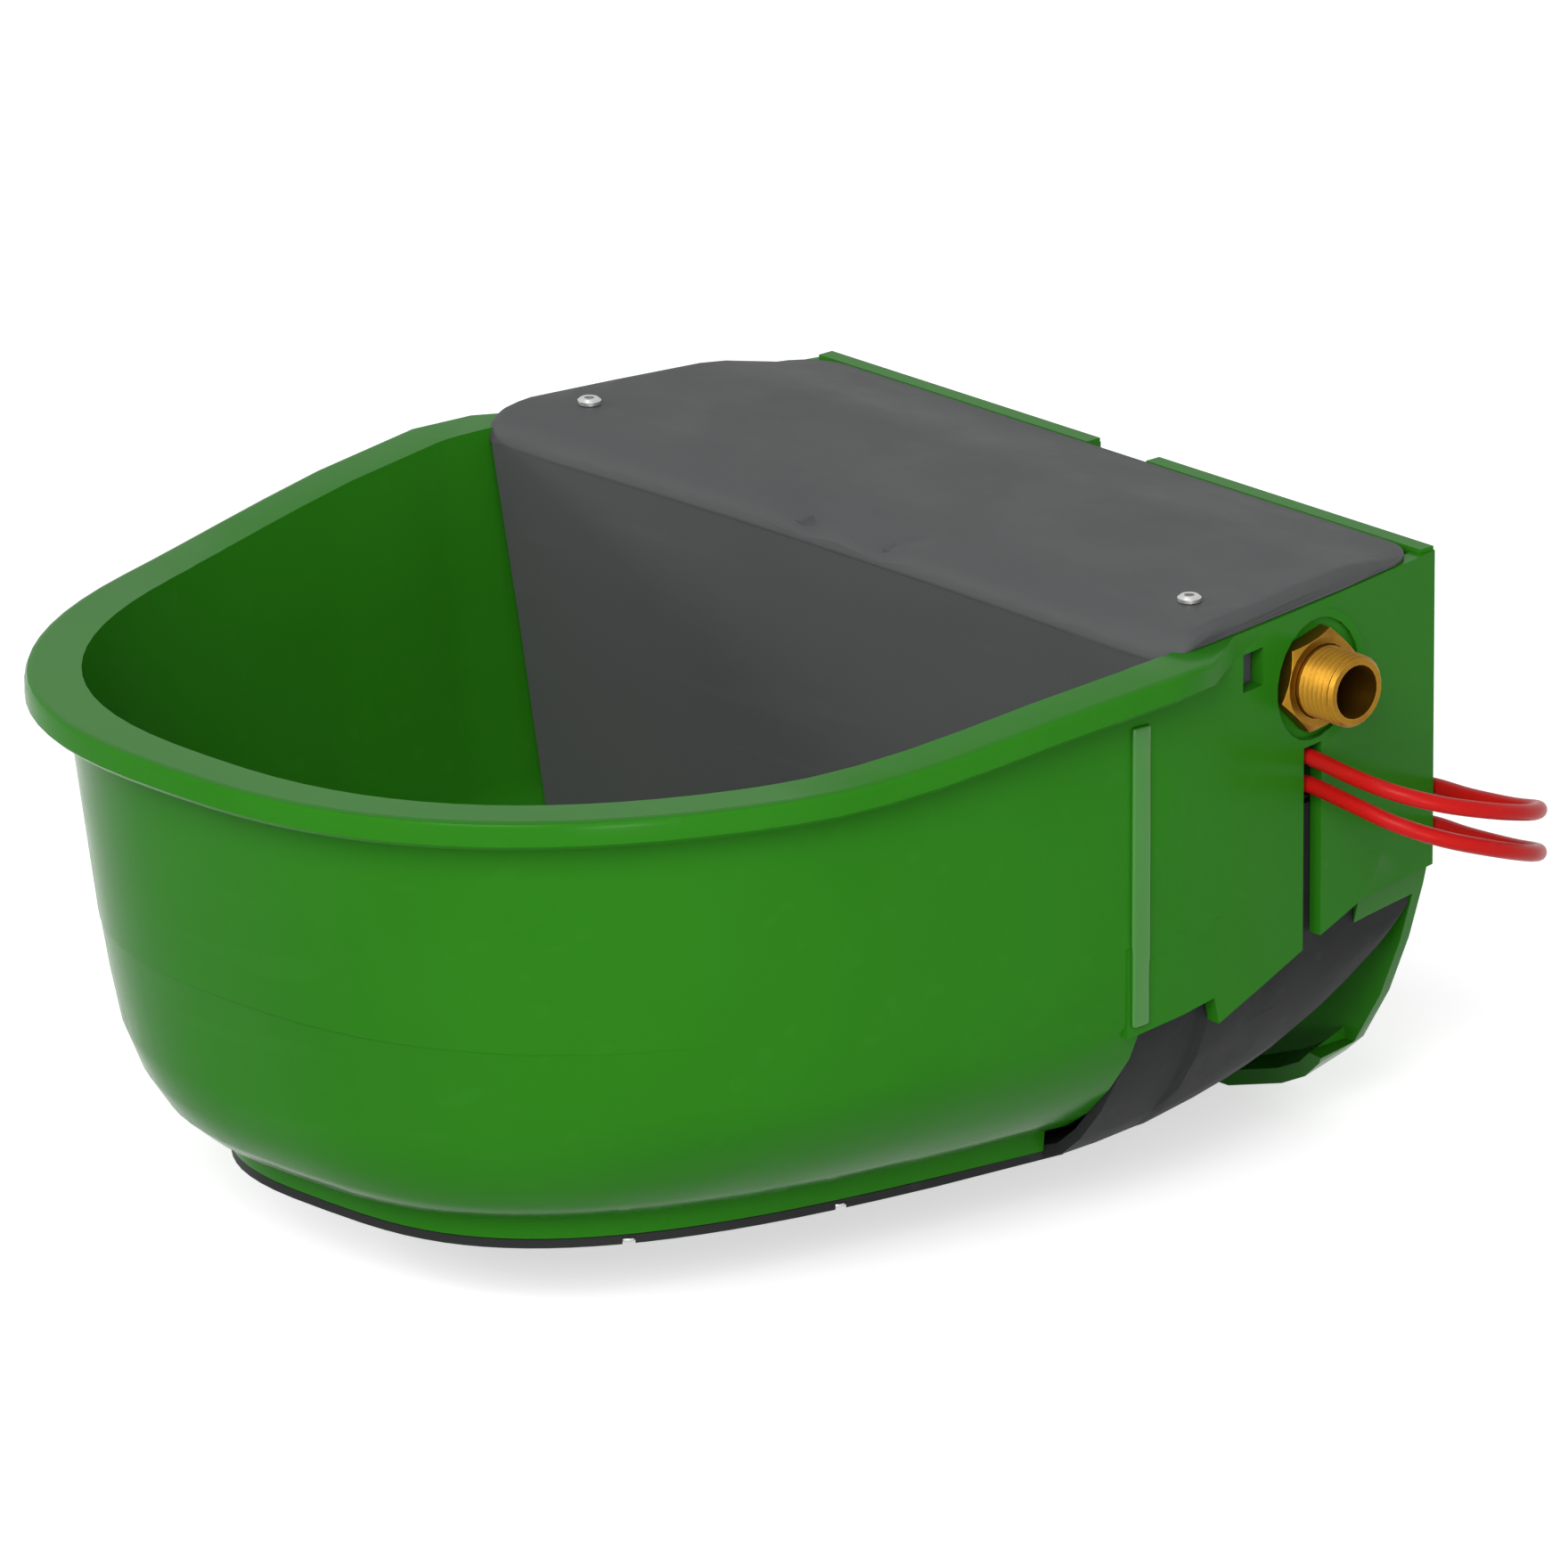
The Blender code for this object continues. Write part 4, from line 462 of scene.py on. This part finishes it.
# Thin triangles turned into fuller ones, which shade evenly on a curved face.
def evenTriangles(obj, degrees):
    only(obj)
    bpy.ops.object.mode_set(mode="EDIT")
    bpy.ops.mesh.select_all(action="SELECT")
    bpy.ops.mesh.beautify_fill(angle_limit=math.radians(degrees))
    bpy.ops.mesh.subdivide(number_cuts=1)
    bpy.ops.mesh.select_all(action="SELECT")
    bpy.ops.mesh.beautify_fill(angle_limit=math.radians(degrees))
    bpy.ops.object.mode_set(mode="OBJECT")


# Flat faces made whole, so that edges get an even bevel.
def joinFlats(obj, degrees):
    only(obj)
    bpy.ops.object.mode_set(mode="EDIT")
    bpy.ops.mesh.select_all(action="SELECT")
    bpy.ops.mesh.dissolve_limited(angle_limit=math.radians(degrees))
    bpy.ops.object.mode_set(mode="OBJECT")


# Height lost at a distance behind the front edge, as a quarter of an ellipse.
def roundedDrop(distance, radius, drop):
    share = min(max((radius - distance) / radius, 0.0), 1.0)
    return drop * (1 - math.sqrt(1 - share * share))


lidFront = {
    "radius": 0.0066,            # how far the round reaches back from the front edge
    "drop": 0.0046,
    "rim": 0.0925,               # the lid's underside, and so the lower end of the round
    "tall": 0.008,
    "column": 0.004,             # the front edge is found in columns this wide
    "even": 4.0,                 # degrees: flatter than this, triangles are evened
}


# The lid's front edge turned over in a wide soft round, as in the photo.
def roundFront(obj, settings):
    rim, column = settings["rim"], settings["column"]
    edge = {}
    for vertex in obj.data.vertices:
        if vertex.co.z > rim:
            key = round(vertex.co.x / column)
            edge[key] = min(edge.get(key, 0.0), vertex.co.y)
    keys = sorted(edge)
    for vertex in obj.data.vertices:
        if not rim < vertex.co.z < rim + settings["tall"]:
            continue
        place = vertex.co.x / column
        left = max((k for k in keys if k <= place), default=keys[0])
        right = min((k for k in keys if k >= place), default=keys[-1])
        share = 0.0 if left == right else (place - left) / (right - left)
        front = edge[left] * (1 - share) + edge[right] * share
        distance = max(vertex.co.y - front, 0.0)
        vertex.co.z -= roundedDrop(distance, settings["radius"], settings["drop"])
    obj.data.update()


# what a piece has where its own settings don't say otherwise
dressBase = {
    "edge": 0.0,                 # width of the rounded edges
    "segments": 2,
    "angle": 32.0,               # degrees: edges sharper than this are rounded
    "smooth": 34.0,              # degrees: edges flatter than this are shaded smooth
    "flat": 0.6,                 # degrees: faces closer than this become one
    "nearest": 0.00002,          # points closer than this are merged
    "weight": 60,
    "front": None,
}


# The node's own shape with rounded edges and a real finish.
def dressedCopy(node, settings):
    obj = mergedCopy(node, settings["name"], settings["nearest"])
    if settings["front"]:
        evenTriangles(obj, settings["front"]["even"])
        roundFront(obj, settings["front"])
    else:
        joinFlats(obj, settings["flat"])
    if settings["edge"] > 0.0:
        roundEdges(obj, settings["edge"], settings["segments"], settings["angle"], "MITER_ARC")
    smoothShade(obj, settings["smooth"])
    weightNormals(obj, settings["weight"])
    obj.data.materials.clear()
    obj.data.materials.append(materials[settings["material"]])
    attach(obj, settings["body"])
    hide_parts(node)
    return obj


coverScrew = {"material": "steel", "body": "cover", "edge": 0.0003, "segments": 3, "smooth": 40.0}
screwInsert = {"material": "brass", "body": "bowl", "edge": 0.0002}
underCoverScrew = {"material": "steel", "body": "bowl", "edge": 0.0002}

pieceSettings = {
    "trough_body": {"name": "troughMoulding", "material": "green", "body": "bowl",
                    "edge": 0.0009, "segments": 3, "angle": 34.0},
    "under_cover": {"name": "heaterHousing", "material": "under", "body": "bowl",
                    "edge": 0.0007, "segments": 3, "angle": 34.0},
    "float_cover": {"name": "floatCover", "material": "grey", "body": "cover",
                    "smooth": 40.0, "nearest": 0.0005, "front": lidFront},
    "inlet_valve_body": {"name": "inletValveBody", "material": "brass", "body": "bowl",
                         "edge": 0.0003, "smooth": 38.0},
    "inlet_lock_nut": {"name": "inletLockNut", "material": "brass", "body": "bowl",
                       "edge": 0.0005, "segments": 3, "smooth": 38.0},
    "inlet_gasket": {"name": "inletGasket", "material": "rubber", "body": "bowl",
                     "edge": 0.0003},
    "cover_screw_right": dict(coverScrew, name="coverScrewRight"),
    "cover_screw_left": dict(coverScrew, name="coverScrewLeft"),
    "screw_insert_right": dict(screwInsert, name="screwInsertRight"),
    "screw_insert_left": dict(screwInsert, name="screwInsertLeft"),
    "heater_plate": {"name": "heaterPlate", "material": "aluminium", "body": "bowl",
                     "edge": 0.0002},
    "floor_heating_cable": {"name": "floorHeatingCable", "material": "red", "body": "bowl",
                            "smooth": 60.0},
    "insulation_pad": {"name": "insulationPad", "material": "foam", "body": "bowl",
                       "edge": 0.0004},
    "thermostat": {"name": "thermostat", "material": "black", "body": "bowl",
                   "edge": 0.0003},
    "thermostat_bracket": {"name": "thermostatBracket", "material": "aluminium",
                           "body": "bowl", "edge": 0.0002},
    "lead_gland": {"name": "leadGland", "material": "black", "body": "bowl",
                   "edge": 0.0003},
    "lead_gland_nut": {"name": "leadGlandNut", "material": "black", "body": "bowl",
                       "edge": 0.0003},
    "valve_nozzle": {"name": "valveNozzle", "material": "white", "body": "bowl",
                     "edge": 0.0002},
    "float_pivot_pin": {"name": "floatPivotPin", "material": "steel", "body": "bowl",
                        "edge": 0.0002},
    "pivot_clip": {"name": "pivotClip", "material": "steel", "body": "bowl",
                   "edge": 0.0001},
    "float_arm": {"name": "floatArm", "material": "white", "body": "float_lever",
                  "edge": 0.0003},
    "float": {"name": "floatBody", "material": "white", "body": "float_lever",
              "edge": 0.0008, "segments": 3},
    "float_level_screw": {"name": "floatLevelScrew", "material": "steel",
                          "body": "float_lever", "edge": 0.0002},
    "float_level_nut": {"name": "floatLevelNut", "material": "steel",
                        "body": "float_lever", "edge": 0.0002},
    "valve_plunger": {"name": "valvePlunger", "material": "white", "body": "plunger",
                      "edge": 0.0002},
    "plunger_seal": {"name": "plungerSeal", "material": "rubber", "body": "plunger",
                     "edge": 0.0001},
    "drain_plug": {"name": "drainPlug", "material": "black", "body": "drain",
                   "edge": 0.0004},
    "drain_plug_ring": {"name": "drainPlugRing", "material": "rubber", "body": "drain",
                        "smooth": 60.0},
}
for number in range(1, 7):
    pieceSettings[f"under_cover_screw_{number}"] = dict(
        underCoverScrew, name=f"underCoverScrew{number}")

for node, settings in pieceSettings.items():
    dressed = dressedCopy(node, dict(dressBase, **settings))
    print("dressed", node, len(dressed.data.polygons))


stripSettings = {
    "width": 0.0064,
    "foot": -0.0105,             # height of its lower end in the shared frame
    "top": 0.0765,
    "middle": -0.1415,           # along Y, where the bowl's wall meets the side panel
    "proud": 0.0013,
    "edge": 0.0011,
    "segments": 3,
    "angle": 50.0,
    "smooth": 40.0,
    "steps": (40, 4),            # along and across, so that it can follow the wall
    "outside": 0.25,             # it starts here along X, clear of the wall
    "sunk": 0.0003,              # its back goes this far into the wall
}


# The upright strip on the right side of the moulding, laid on the moulding's own surface.
def sideStrip(settings, moulding):
    tall = settings["top"] - settings["foot"]
    bpy.ops.object.select_all(action="DESELECT")
    along, across = settings["steps"]
    bpy.ops.mesh.primitive_grid_add(x_subdivisions=along, y_subdivisions=across, size=1.0)
    strip = bpy.context.view_layer.objects.active
    strip.name = "sideStrip"
    strip.rotation_euler = (0.0, math.radians(90.0), 0.0)
    strip.scale = (tall, settings["width"], 1.0)
    strip.location = (settings["outside"], settings["middle"], settings["foot"] + tall / 2)
    bpy.ops.object.transform_apply(location=True, rotation=True, scale=True)
    wrap = strip.modifiers.new("wrap", "SHRINKWRAP")
    wrap.target = moulding
    wrap.wrap_method = "PROJECT"
    wrap.use_project_x = True
    wrap.use_project_y = False
    wrap.use_project_z = False
    wrap.use_negative_direction = True
    wrap.use_positive_direction = False
    wrap.offset = -settings["sunk"]
    applyModifier(strip, "wrap")
    thick = strip.modifiers.new("thick", "SOLIDIFY")
    thick.thickness = settings["proud"] + settings["sunk"]
    thick.offset = 1.0
    applyModifier(strip, "thick")
    roundEdges(strip, settings["edge"], settings["segments"], settings["angle"])
    smoothShade(strip, settings["smooth"])
    strip.data.materials.clear()
    strip.data.materials.append(materials["greenStrip"])
    bpy.ops.object.select_all(action="DESELECT")
    strip.select_set(True)
    moulding.select_set(True)
    bpy.context.view_layer.objects.active = moulding
    bpy.ops.object.join()


sideStrip(stripSettings, bpy.data.objects["troughMoulding"])
print("side strip joined")


cableSettings = {
    "radius": 0.00235,
    "spacing": 0.0035,
    "resolution": 6,
    "stiffness": "medium",
    "lay": "loose",
    # each point: right of the middle, forward of the wall plate, over the bowl's rim
    "route": (
        (0.0706, 0.058, -0.1165), (0.0790, 0.058, -0.1165), (0.0905, 0.058, -0.1140),
        (0.0990, 0.058, -0.1030), (0.1005, 0.058, -0.0850), (0.1025, 0.058, -0.0650),
        (0.1110, 0.058, -0.0495), (0.1240, 0.058, -0.0450), (0.1370, 0.058, -0.0452),
        (0.1500, 0.058, -0.0465), (0.1630, 0.054, -0.0490), (0.1720, 0.044, -0.0525),
        (0.1762, 0.028, -0.0570), (0.1727, 0.011, -0.0620), (0.1630, -0.001, -0.0660),
        (0.1500, -0.004, -0.0690), (0.1330, -0.004, -0.0705), (0.1180, -0.004, -0.0710),
        (0.1070, 0.001, -0.0710), (0.1010, 0.012, -0.0705), (0.1000, 0.026, -0.0690),
        (0.1015, 0.040, -0.0640), (0.1080, 0.052, -0.0575), (0.1200, 0.058, -0.0535),
        (0.1340, 0.058, -0.0530), (0.1500, 0.058, -0.0545), (0.1630, 0.054, -0.0580),
        (0.1720, 0.044, -0.0625), (0.1762, 0.028, -0.0680), (0.1727, 0.011, -0.0740),
        (0.1630, -0.001, -0.0785), (0.1500, -0.004, -0.0810), (0.1330, -0.004, -0.0820),
        (0.1180, -0.004, -0.0822), (0.1070, 0.001, -0.0825), (0.1010, 0.012, -0.0850),
        (0.1000, 0.025, -0.0920), (0.0975, 0.034, -0.1040), (0.0890, 0.0395, -0.1145),
        (0.0790, 0.0415, -0.1165), (0.0706, 0.0415, -0.1165),
    ),
    "rimHeight": 0.0925,         # the bowl's rim over the part's origin
    "standOff": 0.008,           # the wall plate stands this far from the wall
}


# The route as evenly spaced points of a Catmull-Rom curve, in the shared frame.
def cablePoints(settings):
    knots = [Vector((x, -(depth + settings["standOff"]), height + settings["rimHeight"]))
             for x, depth, height in settings["route"]]
    knots = [knots[0] * 2 - knots[1]] + knots + [knots[-1] * 2 - knots[-2]]
    points = []
    for index in range(1, len(knots) - 2):
        before, start, end, after = knots[index - 1:index + 3]
        count = max(2, math.ceil((end - start).length / settings["spacing"]))
        for step in range(count):
            t = step / count
            points.append(0.5 * (2 * start + (end - before) * t
                                 + (2 * before - 5 * start + 4 * end - after) * t ** 2
                                 + (3 * start - before - 3 * end + after) * t ** 3))
    points.append(knots[-2].copy())
    return points


def heatingCable(settings):
    points = cablePoints(settings)
    curve = bpy.data.curves.new("pipeHeatingCable", "CURVE")
    curve.dimensions = "3D"
    curve.bevel_depth = settings["radius"]
    curve.bevel_resolution = settings["resolution"]
    curve.use_fill_caps = True
    spline = curve.splines.new("POLY")
    spline.points.add(len(points) - 1)
    for target, point in zip(spline.points, points):
        target.co = (*point, 1.0)
    spline.use_smooth = True
    cable = bpy.data.objects.new("pipeHeatingCable", curve)
    bpy.context.scene.collection.objects.link(cable)
    cable.data.materials.append(materials["red"])
    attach(cable, "bowl")
    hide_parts("pipe_heating_cable")


heatingCable(cableSettings)


studioSettings = {
    "floorSize": 14.0,
    "floorDrop": 0.002,
    "floorColour": (0.62, 0.62, 0.62, 1.0),
    "floorRough": 0.9,
    "floorGrain": {"Scale": 300.0, "Detail": 2.0},
    "floorBump": 0.05,
    "floorBumpDeep": 0.0005,
    "floorGlow": 0.62,           # what the floor adds where it is seen, so that it looks white
    "white": (1.0, 1.0, 1.0, 1.0),
    "worldSeen": 1.0,
    "horizonLight": 0.80,        # strength of the world's light from the sides
    "zenithLight": 0.34,         # and from above and below
    "aim": (0.0, -0.18, 0.0),    # the lights point here
    "lights": (
        {"name": "keyLight", "place": (1.5, -2.15, 1.55), "size": 1.4, "power": 76.0},
        {"name": "leftLight", "place": (-2.2, -1.6, 0.9), "size": 0.6, "power": 25.0},
        {"name": "topLight", "place": (-0.3, -0.6, 2.6), "size": 0.4, "power": 5.0},
        {"name": "lowLight", "place": (1.9, -1.0, 0.12), "size": 0.4, "power": 9.0},
    ),
}


# 1 for camera, glossy and transmission rays, 0 for the others.
def seenFactor(tree):
    path = tree.nodes.new("ShaderNodeLightPath")
    first = mathNode(tree, "MAXIMUM", path.outputs["Is Camera Ray"],
                     path.outputs["Is Glossy Ray"])
    return mathNode(tree, "MAXIMUM", first, path.outputs["Is Transmission Ray"])


# White where it is seen. Its light on the object is stronger from the sides than from above.
def makeWorld(settings):
    world = bpy.data.worlds.new("studioWorld")
    world.use_nodes = True
    bpy.context.scene.world = world
    tree = world.node_tree
    background = tree.nodes["Background"]
    background.inputs["Color"].default_value = settings["white"]
    direction = tree.nodes.new("ShaderNodeTexCoord")
    parts = tree.nodes.new("ShaderNodeSeparateXYZ")
    tree.links.new(direction.outputs["Generated"], parts.inputs["Vector"])
    height = mathNode(tree, "ABSOLUTE", parts.outputs["Z"])
    light = mapRange(tree, height, (0.0, 1.0), (settings["horizonLight"], settings["zenithLight"]))
    strength = addNode(tree, "ShaderNodeMix", {valueMix["second"]: settings["worldSeen"]},
                       {"data_type": "FLOAT"})
    tree.links.new(seenFactor(tree), strength.inputs["Factor"])
    tree.links.new(light, strength.inputs[valueMix["first"]])
    tree.links.new(strength.outputs[valueMix["result"]], background.inputs["Strength"])


def makeFloor(settings, low):
    bpy.ops.object.select_all(action="DESELECT")
    bpy.ops.mesh.primitive_plane_add(size=settings["floorSize"],
                                     location=(0.0, 0.0, low - settings["floorDrop"]))
    floor = bpy.context.view_layer.objects.active
    floor.name = "studioFloor"
    material, tree, shader, vector = newMaterial("studioFloor")
    shader.inputs["Base Color"].default_value = settings["floorColour"]
    shader.inputs["Roughness"].default_value = settings["floorRough"]
    shader.inputs["Specular IOR Level"].default_value = 0.0
    paper = noiseNode(tree, vector, settings["floorGrain"])
    linkBump(tree, shader, paper.outputs["Fac"], settings["floorBump"], settings["floorBumpDeep"])
    shader.inputs["Emission Color"].default_value = settings["white"]
    glow = mathNode(tree, "MULTIPLY", seenFactor(tree), settings["floorGlow"])
    tree.links.new(glow, shader.inputs["Emission Strength"])
    floor.data.materials.append(material)
    return floor


def makeLight(settings, aim):
    data = bpy.data.lights.new(settings["name"], "AREA")
    data.shape = "SQUARE"
    data.size = settings["size"]
    data.energy = settings["power"]
    light = bpy.data.objects.new(settings["name"], data)
    bpy.context.scene.collection.objects.link(light)
    light.location = settings["place"]
    direction = Vector(aim) - light.location
    light.rotation_euler = direction.to_track_quat("-Z", "Y").to_euler()
    return light


makeWorld(studioSettings)
stageObjects = [makeFloor(studioSettings, cadLow[2])]
for lightSettings in studioSettings["lights"]:
    stageObjects.append(makeLight(lightSettings, studioSettings["aim"]))
bpy.context.scene.view_settings.view_transform = "Standard"
print("studio made")
